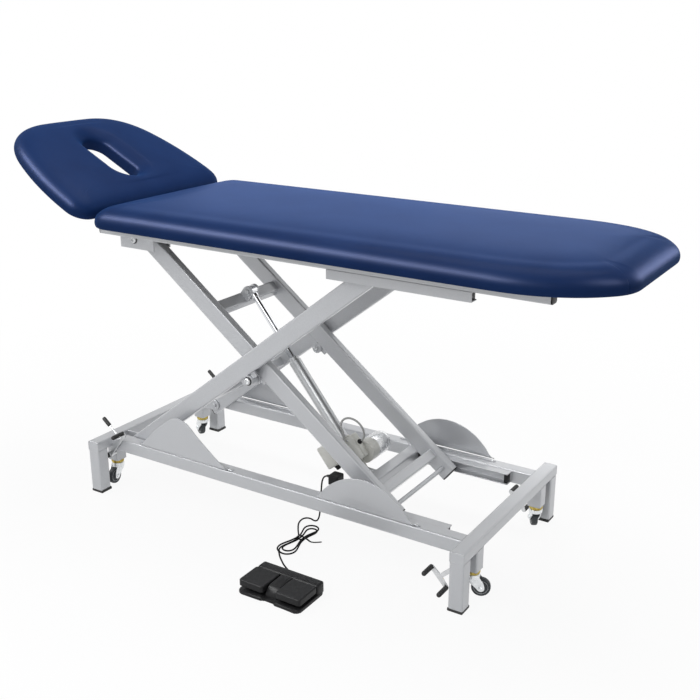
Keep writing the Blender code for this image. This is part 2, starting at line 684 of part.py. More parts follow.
# Pads: soft slabs with drawn-in sides, rounded rims and a low crown.
def bend_through(start, tip, end, steps):
    """Curve that leaves start towards tip and reaches end from tip, without its last spot."""
    spots = []
    for i in range(steps):
        u = i / steps
        spots.append(start * (1 - u) ** 2 + tip * 2 * u * (1 - u) + end * u * u)
    return [(p.x, p.y) for p in spots]


def pad_outline(start, end, half, taper_start, bulge, end_half, corner, end_corner, inset):
    """Plan of a pad: rounded start corners, sides that curve in to a rounded far end, moved in by inset."""
    bend = Vector((taper_start + bulge * (end - taper_start), half))
    lean = math.atan2(half - end_half, end - bend.x)
    turn = math.pi / 2 - lean
    a, w = start + inset, half - inset
    r = max(corner - inset, 0.006)
    q = max(end_corner - inset, 0.010)
    bend -= Vector((math.tan(lean / 2), 1.0)) * inset
    tip = Vector((end, end_half)) - Vector((1.0, math.tan(turn / 2))) * inset
    way = (tip - bend).normalized()
    reach = q * math.tan(turn / 2)
    t = max(taper_start, a + r + 0.010)
    rim = tip - way * reach
    one = arc((a + r, w - r), r, 180, 90, 5)
    one += [(a + r + (t - a - r) * i / 3, w) for i in range(1, 3)]
    one += bend_through(Vector((t, w)), bend, rim, 8)
    one += bend_through(rim, tip, tip - Vector((0.0, reach)), 5) + [(tip.x, tip.y - reach)]
    return one + [(x, -y) for x, y in reversed(one)]


def pad_rings(outline, low, thick, crown, steps):
    levels = [(0.012, 0.0), (0.003, 0.05), (0.0, 0.22), (0.002, 0.46), (0.008, 0.66), (0.020, 0.84),
              (0.040, 0.955), (0.070, 1.0)]
    rings = [[(x, y, low + thick * up) for x, y in outline(inset)] for inset, up in levels]
    for inset, rise in steps:
        rings.append([(x, y, low + thick + crown * rise) for x, y in outline(inset)])
    return rings


def main_outline(inset):
    return [(x - inner_top_x, y) for x, y in
            pad_outline(PAD_START, PAD_END, PAD_HALF_WIDTH, PAD_TAPER_START, PAD_TAPER_BULGE,
                        PAD_FOOT_HALF_WIDTH, PAD_CORNER, PAD_FOOT_CORNER, inset)]


board_low = pad_low + FIT
board_plan = main_outline(BOARD_INSET)
piece("pad_board", "board", top_body,
      [level_plate([board_plan], BOARD_THICKNESS, (0, 0, board_low + BOARD_THICKNESS / 2))])
pocket = level_plate([main_outline(BOARD_INSET - FIT)], BOARD_THICKNESS + FIT + 0.010,
                     (0, 0, board_low + (BOARD_THICKNESS + FIT - 0.010) / 2))
piece("main_pad", "vinyl", top_body, [loft(pad_rings(main_outline, pad_low, PAD_THICKNESS, PAD_CROWN,
                      ((0.115, 0.60), (0.170, 0.97))))],
      cut=[pocket], solver="MANIFOLD")

# Head section: x runs back along the head from the hinge, turned up to its rest tilt.
tilt = math.radians(HEAD_TILT)
head_body = body("head_axis", (HEAD_AXIS[0], 0, HEAD_AXIS[1]), -tilt, math.pi)
head_body.rotation_mode = "XYZ"


def head_outline(inset):
    return pad_outline(HEAD_PAD_START, HEAD_PAD_END, PAD_HALF_WIDTH - 0.002, HEAD_TAPER_START,
                       HEAD_TAPER_BULGE, HEAD_END_HALF_WIDTH, HEAD_CORNER, HEAD_END_CORNER, inset)


def slot_outline(grow):
    r = SLOT_HALF_WIDTH + grow
    return (arc((SLOT_END + grow - r, 0), r, -90, 90, 8)
            + arc((SLOT_START - grow + r, 0), r, 90, 270, 8))


head_low = HEAD_RISE
slot_levels = [(0.0, -0.02), (0.0, 0.64), (0.006, 0.73), (0.018, 0.82), (0.038, 0.93), (0.060, 1.04),
               (0.080, 1.30)]
slot_cut = loft([[(x, y, head_low + PAD_THICKNESS * up) for x, y in slot_outline(grow)]
                 for grow, up in slot_levels])
head_pocket = level_plate([head_outline(BOARD_INSET - FIT)], BOARD_THICKNESS + FIT + 0.010,
                          (0, 0, head_low + FIT + (BOARD_THICKNESS + FIT - 0.010) / 2))
piece("head_board", "board", head_body,
      [level_plate([head_outline(BOARD_INSET), slot_outline(0.004)], BOARD_THICKNESS,
                   (0, 0, head_low + FIT + BOARD_THICKNESS / 2))])
piece("head_pad", "vinyl", head_body, [loft(pad_rings(head_outline, head_low, PAD_THICKNESS, 0.005,
                      ((0.100, 1.0),)))],
      cut=[slot_cut, head_pocket], solver="MANIFOLD")

hinge_pin = 0.006
arm_thick = 0.006
arm_y = tube_inner - 0.004 - arm_thick / 2
for side, word in ((1, "near"), (-1, "far")):
    eye = arc((0.0, 0.0), HEAD_ARM_EYE, 120, 330, 10)
    bar = [(HEAD_ARM_FROM, HEAD_ARM_LOW), (HEAD_ARM_LENGTH, HEAD_ARM_LOW),
           (HEAD_ARM_LENGTH, head_low - FIT), (1.2 * HEAD_ARM_EYE, head_low - FIT)]
    hole = arc((0.0, 0.0), hinge_pin + FIT, 0, 337.5, 15)
    piece("head_arm_" + word, "zinc", head_body,
          [upright_plate([eye + bar, hole], arm_thick, side * arm_y)])
pin_out, pin_in = tube_inner - FIT, tube_inner - 0.016
for side, word in ((-1, "near"), (1, "far")):
    piece("head_hinge_pin_" + word, "zinc", top_body,
          [rod(hinge_pin, pin_out - pin_in,
               (HEAD_AXIS[0] - inner_top_x, side * (pin_out + pin_in) / 2,
                HEAD_AXIS[1] - UPPER_PIVOT_Z), "y", 16, 0.0008)])

# Actuator: x runs from the rod eye down to the tail.
eye_world_x = inner_top_x + ROD_EYE_ALONG * run + ROD_EYE_RISE * climb
eye_world_z = UPPER_PIVOT_Z - ROD_EYE_ALONG * climb + ROD_EYE_RISE * run
reach = math.hypot(TAIL[0] - eye_world_x, TAIL[1] - eye_world_z)
slope = math.atan2(eye_world_z - TAIL[1], TAIL[0] - eye_world_x)
rod_body = body("rod_axis", (eye_world_x, 0, eye_world_z), slope)
actuator_body = body("actuator_axis", (eye_world_x, 0, eye_world_z), slope)

tube_begin = TUBE_FROM_EYE
gear_end = reach - GEAR_TO_TAIL
gear_begin = gear_end - GEAR_LENGTH
eye_half = ear_y - ear_thick / 2 - FIT
eye_block = rod(0.015, 2 * eye_half, (0, 0, 0), "y", 20)
piece("actuator_rod", "chrome", rod_body,
      [rod(ROD_RADIUS, tube_begin + 0.090 - 0.010, ((tube_begin + 0.100) / 2, 0, 0), "x", 20, 0.001)],
      joined=[eye_block], cut=[rod(eye_pin + FIT, 0.06, (0, 0, 0), "y", 16)])

tube_far = gear_begin - FIT
bore = ROD_RADIUS + RUNNING_FIT
half = (tube_far - tube_begin) / 2
piece("actuator_tube", "chrome", actuator_body,
      [turned([(bore, -half), (HOUSING_TUBE_RADIUS - 0.002, -half), (HOUSING_TUBE_RADIUS, -half + 0.002),
               (HOUSING_TUBE_RADIUS, half), (bore, half)], ((tube_begin + tube_far) / 2, 0, 0), "x", 24)])

gear_half_y = 0.0235
cheek_in, cheek_thick = 0.0065, 0.006
cheeks = [upright_plate([arc((reach, 0), 0.015, -90, 90, 8)
                         + [(gear_end - 0.004, 0.015), (gear_end - 0.004, -0.015)]],
                        cheek_thick, side * (cheek_in + cheek_thick / 2)) for side in SIDES]
piece("gear_housing", "light_grey", actuator_body,
      [block((gear_end - gear_begin, 2 * gear_half_y, GEAR_HEIGHT),
             ((gear_begin + gear_end) / 2, 0, GEAR_RISE), 0.006)], joined=cheeks)

motor_x, motor_z = reach - MOTOR_TO_TAIL, MOTOR_RISE
motor_start, motor_end = gear_half_y + FIT, MOTOR_REACH
motor_half = (motor_end - motor_start) / 2
spots = [(0.0, -motor_half), (0.014, -motor_half), (0.024, -motor_half + 0.005),
         (MOTOR_RADIUS, -motor_half + 0.016), (MOTOR_RADIUS, motor_half), (0.0, motor_half)]
piece("motor", "light_grey", actuator_body,
      [turned(spots, (motor_x, (motor_start + motor_end) / 2, motor_z), "y", 24)])

box_end = reach - BOX_TO_TAIL
box_begin = box_end - BOX_LENGTH
box_in, box_out = -gear_half_y - FIT, -BOX_REACH
box_top = BOX_RISE + BOX_HEIGHT / 2
piece("control_box", "light_grey", actuator_body,
      [block((box_end - box_begin, box_in - box_out, BOX_HEIGHT),
             ((box_begin + box_end) / 2, (box_in + box_out) / 2, BOX_RISE), 0.006)])

gear_top = GEAR_RISE + GEAR_HEIGHT / 2
cable_from = Vector((gear_begin + 0.030, 0.010, gear_top + FIT))
cable_to = Vector((box_end - 0.020, -0.048, box_top + CABLE_RADIUS + FIT))
cable_points, cable_length = smooth_route(
    [cable_from, cable_from + Vector((0, 0, 0.013)), cable_from + Vector((-0.010, 0, 0.028)),
     cable_from + Vector((-0.032, -0.002, 0.037)), cable_from + Vector((-0.056, -0.006, 0.034)),
     cable_from + Vector((-0.074, -0.013, 0.021)), cable_from + Vector((-0.077, -0.022, 0.006)),
     cable_from + Vector((-0.066, -0.030, -0.004)), cable_from + Vector((-0.046, -0.036, -0.006)),
     Vector((gear_begin + 0.006, -0.036, gear_top - 0.012)), cable_to + Vector((-0.016, 0.004, 0.006)),
     cable_to], 0.012)
piece("motor_cable", "light_grey", actuator_body, [wire(cable_points, CABLE_RADIUS)])

# Socket of the foot switch cord, on a strip from the base cross tube.
socket_y = -0.105
socket_x = base_tube_face - SOCKET_REACH
strip_end = base_tube_face - FIT
strip_low = 0.146
piece("cord_socket", "black", FRAME,
      [block((strip_end - socket_x + 0.016, 0.030, 0.003),
             ((strip_end + socket_x - 0.016) / 2, socket_y, strip_low + 0.0015))],
      joined=[block((0.032, 0.036, 0.030), (socket_x, socket_y, strip_low + 0.015), 0.004)])

# Foot switch: tray with a rear bar and a bridge, two pedals hinged at the bar.
SWITCH_X, SWITCH_FRONT, SWITCH_BACK = 0.198, -0.515, -0.397
SWITCH_WIDTH, SWITCH_HEIGHT, TRAY_HEIGHT = 0.190, 0.036, 0.009
BAR_DEPTH, BRIDGE_WIDTH = 0.032, 0.034
pedal_back = SWITCH_BACK - BAR_DEPTH
switch_mid = (SWITCH_FRONT + SWITCH_BACK) / 2
piece("footswitch_base", "black", FRAME,
      [block((SWITCH_WIDTH, SWITCH_BACK - SWITCH_FRONT, TRAY_HEIGHT),
             (SWITCH_X, switch_mid, TRAY_HEIGHT / 2), 0.002)],
      joined=[block((SWITCH_WIDTH, BAR_DEPTH, SWITCH_HEIGHT),
                    (SWITCH_X, SWITCH_BACK - BAR_DEPTH / 2, SWITCH_HEIGHT / 2), 0.004),
              block((BRIDGE_WIDTH, 0.090, SWITCH_HEIGHT - 0.002),
                    (SWITCH_X, SWITCH_BACK - 0.045, SWITCH_HEIGHT / 2 - 0.001), 0.003)])
pedal_gap = 0.0008
pedal_width = (SWITCH_WIDTH - BRIDGE_WIDTH) / 2 - pedal_gap
pedal_z = SWITCH_HEIGHT - 0.010
for side, word in ((-1, "left"), (1, "right")):
    pedal_x = SWITCH_X + side * (BRIDGE_WIDTH / 2 + pedal_gap + pedal_width / 2)
    pedal_body = body("pedal_%s_axis" % word, (pedal_x, pedal_back - 0.006, pedal_z))
    depth = pedal_back - 0.0006 - SWITCH_FRONT
    side_view = [(0.005, -0.004), (0.0054, 0.0085), (-depth * 0.5, 0.0115), (-depth + 0.016, 0.009),
                 (-depth + 0.008, 0.004), (-depth + 0.0065, -0.002), (-depth + 0.012, -0.006),
                 (-0.030, -0.009), (-0.002, -0.009)]
    slab = profile_bar(side_view[::-1], pedal_width, (0, 0, 0))
    piece("pedal_" + word, "black", pedal_body, [round_edges(slab, 0.0025, 2, 50.0)])

# Foot switch cord: from the socket to the floor, a tied hank, and on to the switch.
floor_z = CORD_RADIUS + 0.0004
socket_face = socket_x - 0.016 - FIT
HANK_CENTRE = Vector((0.0870, -0.2060))
HANK_TURN = math.radians(92.0)
HANK_LONG, HANK_LEAN = 0.0715, -0.0085
HANK_WAIST, HANK_SWELL, HANK_SKEW = 0.0045, 0.0275, -0.0040
HANK_TURNS = 1
HANK_WAIST_PITCH, HANK_LOOP_PITCH = 2 * CORD_RADIUS + 0.0011, 0.015
HANK_POINTS = 36


def hank_point(turn, layer):
    """Spot on a bow drawn in at the waist, wound outwards, with one loop longer than the other."""
    angle = math.radians(100.0) + 2 * math.pi * turn
    c, s = math.cos(angle), math.sin(angle)
    half = HANK_WAIST + (HANK_SWELL + HANK_SKEW * c) * c * c
    spot = Vector(((HANK_LONG + HANK_LEAN * c) * c, s * half))
    way = Vector((-s * (HANK_LONG + 2 * HANK_LEAN * c),
                  c * half - s * s * (2 * HANK_SWELL * c + 3 * HANK_SKEW * c * c)))
    pitch = HANK_WAIST_PITCH + (HANK_LOOP_PITCH - HANK_WAIST_PITCH) * c * c
    spot += Vector((way.y, -way.x)).normalized() * pitch * abs(HANK_TURNS - turn)
    spot.rotate(Matrix.Rotation(HANK_TURN, 2))
    return Vector((HANK_CENTRE.x + spot.x, HANK_CENTRE.y + spot.y,
                   floor_z + layer * (2 * CORD_RADIUS + 0.0012)))


hank = []
total_steps = 2 * HANK_TURNS * HANK_POINTS
for i in range(total_steps + 1):
    turn = i / HANK_POINTS
    climb_part = (turn - (HANK_TURNS - 0.25)) / 0.5
    layer = 0.0 if climb_part <= 0 else min(1.0, climb_part)
    hank.append(hank_point(turn, layer * layer * (3 - 2 * layer)))
piece("cord_hank", "black", FRAME, [wire(hank, CORD_RADIUS)])


def least_self_gap(points, radius, apart):
    """Least clear gap between stretches of a tube that are not neighbours."""
    best = 1.0
    for i in range(len(points) - 1):
        for j in range(i + apart, len(points) - 1):
            for s in (0.0, 0.25, 0.5, 0.75):
                for t in (0.0, 0.25, 0.5, 0.75):
                    p = points[i].lerp(points[i + 1], s)
                    q = points[j].lerp(points[j + 1], t)
                    best = min(best, (p - q).length)
    return best - 2 * radius


print("hank least self gap mm %.2f" % (1000 * least_self_gap(hank, CORD_RADIUS, 6)))

start_way = (hank[1] - hank[0]).normalized()
end_way = (hank[-1] - hank[-2]).normalized()
seam = 0.0010


run_end = hank[0] - start_way * seam
lead_in = [hank_point(-turn, 0.0) for turn in (0.030, 0.015)]
lead_out = [hank_point(2 * HANK_TURNS + turn, 1.0) for turn in (0.042, 0.083, 0.125, 0.165)]
run_points, run_length = smooth_route(
    [(socket_face, socket_y, 0.163), (socket_face - 0.012, socket_y, 0.1625),
     (socket_face - 0.0235, socket_y, 0.1565), (socket_face - 0.031, socket_y, 0.140),
     (socket_face - 0.035, socket_y + 0.0005, 0.105), (socket_face - 0.0385, socket_y + 0.0015, 0.060),
     (socket_face - 0.044, socket_y + 0.003, 0.026), (socket_face - 0.053, socket_y + 0.005, 0.008),
     (0.0560, -0.0975, floor_z), (0.0425, -0.0935, floor_z), (0.0305, -0.0955, floor_z),
     (0.0232, -0.1050, floor_z), (0.0232, -0.1190, floor_z), (0.0285, -0.1360, floor_z),
     (0.0400, -0.1550, floor_z), (0.0530, -0.1730, floor_z), (0.0655, -0.1890, floor_z)]
    + lead_in + [run_end], 0.011)
piece("cord_run", "black", FRAME, [wire(run_points, CORD_RADIUS)])
tail_start = hank[-1] + end_way * seam
tail_points, tail_length = smooth_route(
    [tail_start] + lead_out
    + [(0.0800, -0.3030, floor_z + 0.005), (0.0885, -0.3120, floor_z + 0.002), (0.0980, -0.3205, floor_z),
       (0.1100, -0.3310, floor_z), (0.1260, -0.3440, floor_z), (0.1450, -0.3560, floor_z),
       (0.1640, -0.3660, floor_z), (0.1810, -0.3735, floor_z + 0.0015), (0.1920, -0.3800, floor_z + 0.005),
       (0.1970, -0.3875, 0.0120), (SWITCH_X, SWITCH_BACK + 0.0007, 0.014)], 0.011)
piece("cord_tail", "black", FRAME, [wire(tail_points, CORD_RADIUS)])
hank_length = sum((q - p).length for p, q in zip(hank, hank[1:]))
print("cord lengths run %.3f hank %.3f tail %.3f cable %.3f" %
      (run_length, hank_length, tail_length, cable_length))

# Castors: housing stem, swivel fork, wheel and the lever that lowers the stem.
CASTORS = (("near_foot", 1, -1, 24.0, -42.7), ("far_foot", 1, 1, 122.0, -42.7),
           ("near_head", -1, -1, -82.0, 50.0), ("far_head", -1, 1, 150.0, 50.0))
wheel_z = WHEEL_RADIUS + WHEEL_LIFT
fork_top = 0.0675
for word, end, side, heading, lever_angle in CASTORS:
    spot = (end * CASTOR_X, side * CASTOR_Y)
    stem_body = body("stem_%s_axis" % word, (spot[0], spot[1], HOUSING_BOTTOM))
    stem = [(0.0, 0.045), (0.0125, 0.045), (0.0135, 0.044), (0.0135, -RUNNING_FIT),
            (0.0185, -RUNNING_FIT), (0.0195, -0.003), (0.0195, -0.008), (0.017, -0.0102),
            (0.0, -0.0102)]
    piece("stem_" + word, "yellow_zinc", stem_body, [turned(stem, (0, 0, 0), "z", 14)])

    fork_body = body("fork_%s_axis" % word, (spot[0], spot[1], fork_top), 0.0, math.radians(heading))
    drop = wheel_z - fork_top
    cheek_y = WHEEL_WIDTH / 2 + 0.0018
    cheek_wall = 0.0022
    crown = turned([(0.0, -FIT), (0.017, -FIT), (0.019, -0.0015), (0.019, -0.0045), (0.0, -0.0045)],
                   (0, 0, 0), "z", 14)
    cheek_drafts = []
    for cheek_side in SIDES:
        outline = [(-0.012, -0.0025), (-0.010, -0.012)]
        outline += arc((CASTOR_TRAIL, drop), 0.0085, 205, 385, 5)
        outline += [(0.014, -0.0025)]
        cheek_drafts.append(upright_plate([outline[::-1]], cheek_wall,
                                          cheek_side * (cheek_y + cheek_wall / 2)))
    axle = rod(0.004, 2 * (cheek_y + cheek_wall) + 0.004, (CASTOR_TRAIL, 0, drop), "y", 8)
    piece("fork_" + word, "zinc", fork_body, [crown], joined=cheek_drafts + [axle])

    wheel_body = body("wheel_%s_axis" % word,
                      (spot[0] + CASTOR_TRAIL * math.cos(math.radians(heading)),
                       spot[1] + CASTOR_TRAIL * math.sin(math.radians(heading)), wheel_z),
                      0.0, math.radians(heading))
    half = WHEEL_WIDTH / 2
    rim = [(0.004 + FIT, -half), (0.013, -half), (0.0145, -half + 0.0025), (0.0205, -half + 0.0025),
           (0.0225, -half + 0.001), (WHEEL_RADIUS, -half + 0.004), (WHEEL_RADIUS, half - 0.004),
           (0.0225, half - 0.001), (0.0205, half - 0.0025), (0.0145, half - 0.0025), (0.013, half),
           (0.004 + FIT, half)]
    piece("wheel_" + word, "tyre", wheel_body, [turned(rim, (0, 0, 0), "y", 18)])

    lever_body = body("lever_%s_axis" % word, (end * LEVER_X, 0, LEVER_Z))
    angle = math.radians(lever_angle)
    inward = Vector((-end * math.cos(angle), 0, math.sin(angle)))
    across = Vector((end * math.sin(angle), 0, math.cos(angle)))
    hub_in, hub_out = CASTOR_Y + CASTOR_HOUSING / 2 + FIT, LEVER_FACE + 0.006
    hub = rod(0.0085, hub_out - hub_in, (0, side * (hub_in + hub_out) / 2, 0), "y", 12)
    plate_y = side * (LEVER_FACE + 0.002)
    turn_y = -math.atan2(inward.z, inward.x)
    grip_y = side * (LEVER_FACE + 0.001 + LEVER_GRIP / 2)
    tip = inward * LEVER_ARM
    length = LEVER_ARM if end > 0 else HAND_LEVER_ARM
    half_way = inward * (length / 2)
    arm = block((length, 0.004, 0.014), (half_way.x, plate_y, half_way.z), 0.0, (0, turn_y, 0))
    if end > 0:
        bar = block((0.012, 0.004, 2 * LEVER_CROSS + 0.012), (tip.x, plate_y, tip.z), 0.0, (0, turn_y, 0))
        holds = [tip + across * LEVER_CROSS, tip - across * LEVER_CROSS]
        more = [bar]
    else:
        rod_y = side * (LEVER_FACE + 0.0045)
        middle, hold = tip + across * (HAND_LEVER_ROD / 2), tip + across * (HAND_LEVER_ROD - 0.016)
        bar = rod(0.003, HAND_LEVER_ROD, (middle.x, rod_y, middle.z), "z", 8)
        bar.rotation_euler = (0.0, turn_y, 0.0)
        grip = rod(0.006, 0.032, (hold.x, rod_y, hold.z), "z", 8)
        grip.rotation_euler = (0.0, turn_y, 0.0)
        holds = [inward * (HAND_LEVER_ARM - 0.006) + across * 0.006]
        more = [bar, grip]
    grips = [rod(0.0065, LEVER_GRIP, (hold.x, grip_y, hold.z), "y", 10) for hold in holds]
    piece("lever_" + word, "black", lever_body, [hub], joined=[arm] + more + grips)


# The whole table stands on z zero with the middle of its outline over the origin.
bpy.context.view_layer.update()
graph = bpy.context.evaluated_depsgraph_get()
low, high = Vector((9, 9, 9)), Vector((-9, -9, -9))
for item in PARTS.objects:
    if item.type != "MESH" or item.name.startswith("cord_") and item.name != "cord_socket":
        continue
    ready = item.evaluated_get(graph)
    for vertex in ready.data.vertices:
        place = ready.matrix_world @ vertex.co
        low = Vector(map(min, low, place))
        high = Vector(map(max, high, place))
print("outline low", [round(v, 4) for v in low], "high", [round(v, 4) for v in high])
OBJECT_CENTRE = (-0.0050, -0.0965)
FRAME.location = (-OBJECT_CENTRE[0], -OBJECT_CENTRE[1], 0.0)
print("centre now", round((low.x + high.x) / 2, 5), round((low.y + high.y) / 2, 5))
print("cross", cross_x, cross_z, "inner top", inner_top_x)
print("inner foot", inner_foot_x, "outer top", outer_top_x, "base tube", BASE_TUBE_X)
print("eye", eye_world_x, eye_world_z, "reach", reach)
print("slope", math.degrees(slope), "rest", math.degrees(rest))
print("nodes", len([item for item in PARTS.objects if item.type == "MESH"]))
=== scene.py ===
# %% [markdown]
# # Electric treatment table
# The real table has two blue vinyl pads on a silver scissor lift. The lift stands on a welded base with
# four feet, four castors that levers push down, and a foot switch on a cord. The solids of every part are
# already packed. This lesson loads them as a fixed frame, keeps the ones whose shape is right, and makes
# finer pieces for the rest: the pads, the castors, the levers, the foot switch and the lifting motor.

# %% Load the fixed frame
import math

import bmesh
import bpy
from mathutils import Matrix, Vector


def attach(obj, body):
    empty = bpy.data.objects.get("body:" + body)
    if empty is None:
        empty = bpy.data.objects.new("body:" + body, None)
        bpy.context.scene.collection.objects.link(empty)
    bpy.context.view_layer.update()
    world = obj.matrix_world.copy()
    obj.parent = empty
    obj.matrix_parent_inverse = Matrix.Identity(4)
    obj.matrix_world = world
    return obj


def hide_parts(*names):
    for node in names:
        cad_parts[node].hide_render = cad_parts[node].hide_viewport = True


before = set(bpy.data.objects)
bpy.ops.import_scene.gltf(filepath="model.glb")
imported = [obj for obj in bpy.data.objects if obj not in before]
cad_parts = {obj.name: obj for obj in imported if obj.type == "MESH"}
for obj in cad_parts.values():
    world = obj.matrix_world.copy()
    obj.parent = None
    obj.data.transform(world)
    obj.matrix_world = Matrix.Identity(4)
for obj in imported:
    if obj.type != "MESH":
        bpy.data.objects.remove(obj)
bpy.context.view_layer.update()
scene = bpy.context.scene
scene.view_settings.view_transform = "Standard"

# %% [markdown]
# ## Camera
# The photograph was taken from the foot end, a little above the pads. A camera could be pushed about until
# the view looks right, but then no two edges agree. The straight base rails gave the place of the lens, so
# the camera is typed in as numbers: a place, two angles and a focal length.

# %% Camera at the photograph's viewing angle
CAMERA_PLACE = (1.56400574, -2.17611037, 1.4301155)
CAMERA_TURN, CAMERA_DIP = 32.38, 18.89
SENSOR_WIDTH, FOCAL_LENGTH = 36.0, 52.43
lens = bpy.data.cameras.new("photo_camera")
lens.sensor_width = SENSOR_WIDTH
lens.lens = FOCAL_LENGTH
camera = bpy.data.objects.new("photo_camera", lens)
camera.location = CAMERA_PLACE
camera.rotation_euler = (math.radians(90 - CAMERA_DIP), 0.0, math.radians(CAMERA_TURN))
scene.collection.objects.link(camera)
scene.camera = camera
print("camera", tuple(round(v, 3) for v in camera.location), "lens", round(lens.lens, 2))

# %% [markdown]
# ## Floor, world and lamps
# A studio sweep is a pale floor that runs into white, with a faint soft shadow under the table. The floor
# here is a large sheet that is mostly plain white to the eye, a little matt, and all white further out, so
# the shadow stays but stays faint. The world is bright for the eye and for reflections, and weaker for the
# light that falls on surfaces. A broad lamp hangs above, and four more fill the front, the head end and the
# back. Cards are lamps that show only in reflections. Two draw the fine lines along the edges of the tubes,
# and four cool ones, for the vinyl alone, draw the soft bands along the rims of the pads.

# %% World: white to the eye, softer as light
SKY_LIGHT = 0.39
world = bpy.data.worlds.new("studio")
scene.world = world
world.use_nodes = True
sky = world.node_tree
sky.nodes.clear()
seen = sky.nodes.new("ShaderNodeBackground")
seen.inputs["Color"].default_value = (1.0, 1.0, 1.0, 1.0)
seen.inputs["Strength"].default_value = 1.0
glow = sky.nodes.new("ShaderNodeBackground")
glow.inputs["Color"].default_value = (0.97, 0.985, 1.0, 1.0)
glow.inputs["Strength"].default_value = SKY_LIGHT
choice = sky.nodes.new("ShaderNodeMixShader")
out = sky.nodes.new("ShaderNodeOutputWorld")


def seen_directly(tree):
    """One where a ray comes from the eye, a mirror or glass, and zero for other light."""
    path = tree.nodes.new("ShaderNodeLightPath")
    first = tree.nodes.new("ShaderNodeMath")
    first.operation = "MAXIMUM"
    both = tree.nodes.new("ShaderNodeMath")
    both.operation = "MAXIMUM"
    tree.links.new(path.outputs["Is Camera Ray"], first.inputs[0])
    tree.links.new(path.outputs["Is Glossy Ray"], first.inputs[1])
    tree.links.new(first.outputs[0], both.inputs[0])
    tree.links.new(path.outputs["Is Transmission Ray"], both.inputs[1])
    return both.outputs[0]


sky.links.new(seen_directly(sky), choice.inputs["Fac"])
sky.links.new(glow.outputs[0], choice.inputs[1])
sky.links.new(seen.outputs[0], choice.inputs[2])
sky.links.new(choice.outputs[0], out.inputs["Surface"])
print("world light", SKY_LIGHT)

# %% Floor sheet
FLOOR_HALF, FLOOR_DROP = 30.0, 0.0006
floor_shape = bmesh.new()
bmesh.ops.create_grid(floor_shape, x_segments=4, y_segments=4, size=FLOOR_HALF)
floor_mesh = bpy.data.meshes.new("studio_floor")
floor_shape.to_mesh(floor_mesh)
floor_shape.free()
floor = bpy.data.objects.new("studio_floor", floor_mesh)
floor.location.z = -FLOOR_DROP
scene.collection.objects.link(floor)
print("floor half size", FLOOR_HALF)

# %% Floor finish that fades to white
FLOOR_WHITE, FADE_FROM, FADE_TO = 0.92, 0.8, 2.4
sweep = bpy.data.materials.new("studio_sweep")
sweep.use_nodes = True
tree = sweep.node_tree
tree.nodes.clear()
place = tree.nodes.new("ShaderNodeTexCoord")
away = tree.nodes.new("ShaderNodeVectorMath")
away.operation = "LENGTH"
tree.links.new(place.outputs["Object"], away.inputs[0])
fade = tree.nodes.new("ShaderNodeMapRange")
fade.interpolation_type = "SMOOTHSTEP"
fade.inputs["From Min"].default_value = FADE_FROM
fade.inputs["From Max"].default_value = FADE_TO
fade.inputs["To Min"].default_value = FLOOR_WHITE
tree.links.new(away.outputs["Value"], fade.inputs["Value"])
shown = tree.nodes.new("ShaderNodeMath")
shown.operation = "MULTIPLY"
tree.links.new(fade.outputs["Result"], shown.inputs[0])
tree.links.new(seen_directly(tree), shown.inputs[1])
matt = tree.nodes.new("ShaderNodeBsdfDiffuse")
matt.inputs["Color"].default_value = (0.80, 0.80, 0.805, 1.0)
white = tree.nodes.new("ShaderNodeEmission")
blend = tree.nodes.new("ShaderNodeMixShader")
end = tree.nodes.new("ShaderNodeOutputMaterial")
tree.links.new(shown.outputs[0], blend.inputs["Fac"])
tree.links.new(matt.outputs[0], blend.inputs[1])
tree.links.new(white.outputs[0], blend.inputs[2])
tree.links.new(blend.outputs[0], end.inputs["Surface"])
floor_mesh.materials.append(sweep)
print("floor white from %.1f m out" % FADE_TO)

# %% Broad studio lamps and cards
HIGH_LEFT, PAD_SIDE = (-1.9, -2.35, 3.5), (-0.2, -0.1, 0.85)
LAMPS = (("lamp_above", (0.0, 0.8, 3.6), (0.0, 0.0, 0.6), (3.0, 2.2), 84.0),
         ("lamp_strip", (-1.9, -2.3, 3.4), PAD_SIDE, (4.0, 0.7), 38.0),
         ("lamp_front", (0.3, -2.3, 2.1), (0.0, 0.0, 0.5), (2.6, 0.8), 17.0),
         ("lamp_head_end", (-3.2, -1.0, 1.7), (-0.5, 0.0, 0.7), (1.4, 1.6), 8.0),
         ("lamp_back", (2.4, 3.5, 1.7), (0.5, 0.0, 0.8), (1.8, 1.4), 20.0))
EDGE_CARDS = (("edge_card", HIGH_LEFT, PAD_SIDE, (4.2, 0.6), 220.0),
              ("back_card", (0.6, 4.2, 1.6), (0.3, 0.0, 0.4), (5.0, 1.0), 20.0))
both_pads = bpy.data.collections.new("both_pads")
flat_pad = bpy.data.collections.new("flat_pad")
PALE_BLUE = (0.55, 0.63, 1.0)
VINYL_CARDS = (
    (both_pads, (0.45, 0.55, 1.0), "card_front", HIGH_LEFT, PAD_SIDE, (4.2, 1.0), 1300.0),
    (flat_pad, (0.42, 0.55, 1.0), "card_top", (-1.7, 3.3, 1.7), (0.1, 0.0, 0.9), (3.6, 1.4), 135.0),
    (flat_pad, PALE_BLUE, "card_back", (2.4, 3.6, 2.0), (0.9, 0.0, 0.85), (1.8, 1.6), 300.0),
    (flat_pad, PALE_BLUE, "card_end", (3.0, -0.3, 3.0), (0.9, -0.1, 0.85), (1.2, 1.4), 220.0))


def soft_lamp(name, place, target, size, watts):
    """Rectangular lamp at place that looks at target."""
    lamp = bpy.data.lights.new(name, "AREA")
    lamp.shape = "RECTANGLE"
    lamp.size, lamp.size_y = size
    lamp.energy = watts
    made = bpy.data.objects.new(name, lamp)
    made.location = place
    made.rotation_euler = (Vector(target) - Vector(place)).to_track_quat("-Z", "Y").to_euler()
    scene.collection.objects.link(made)
    return made


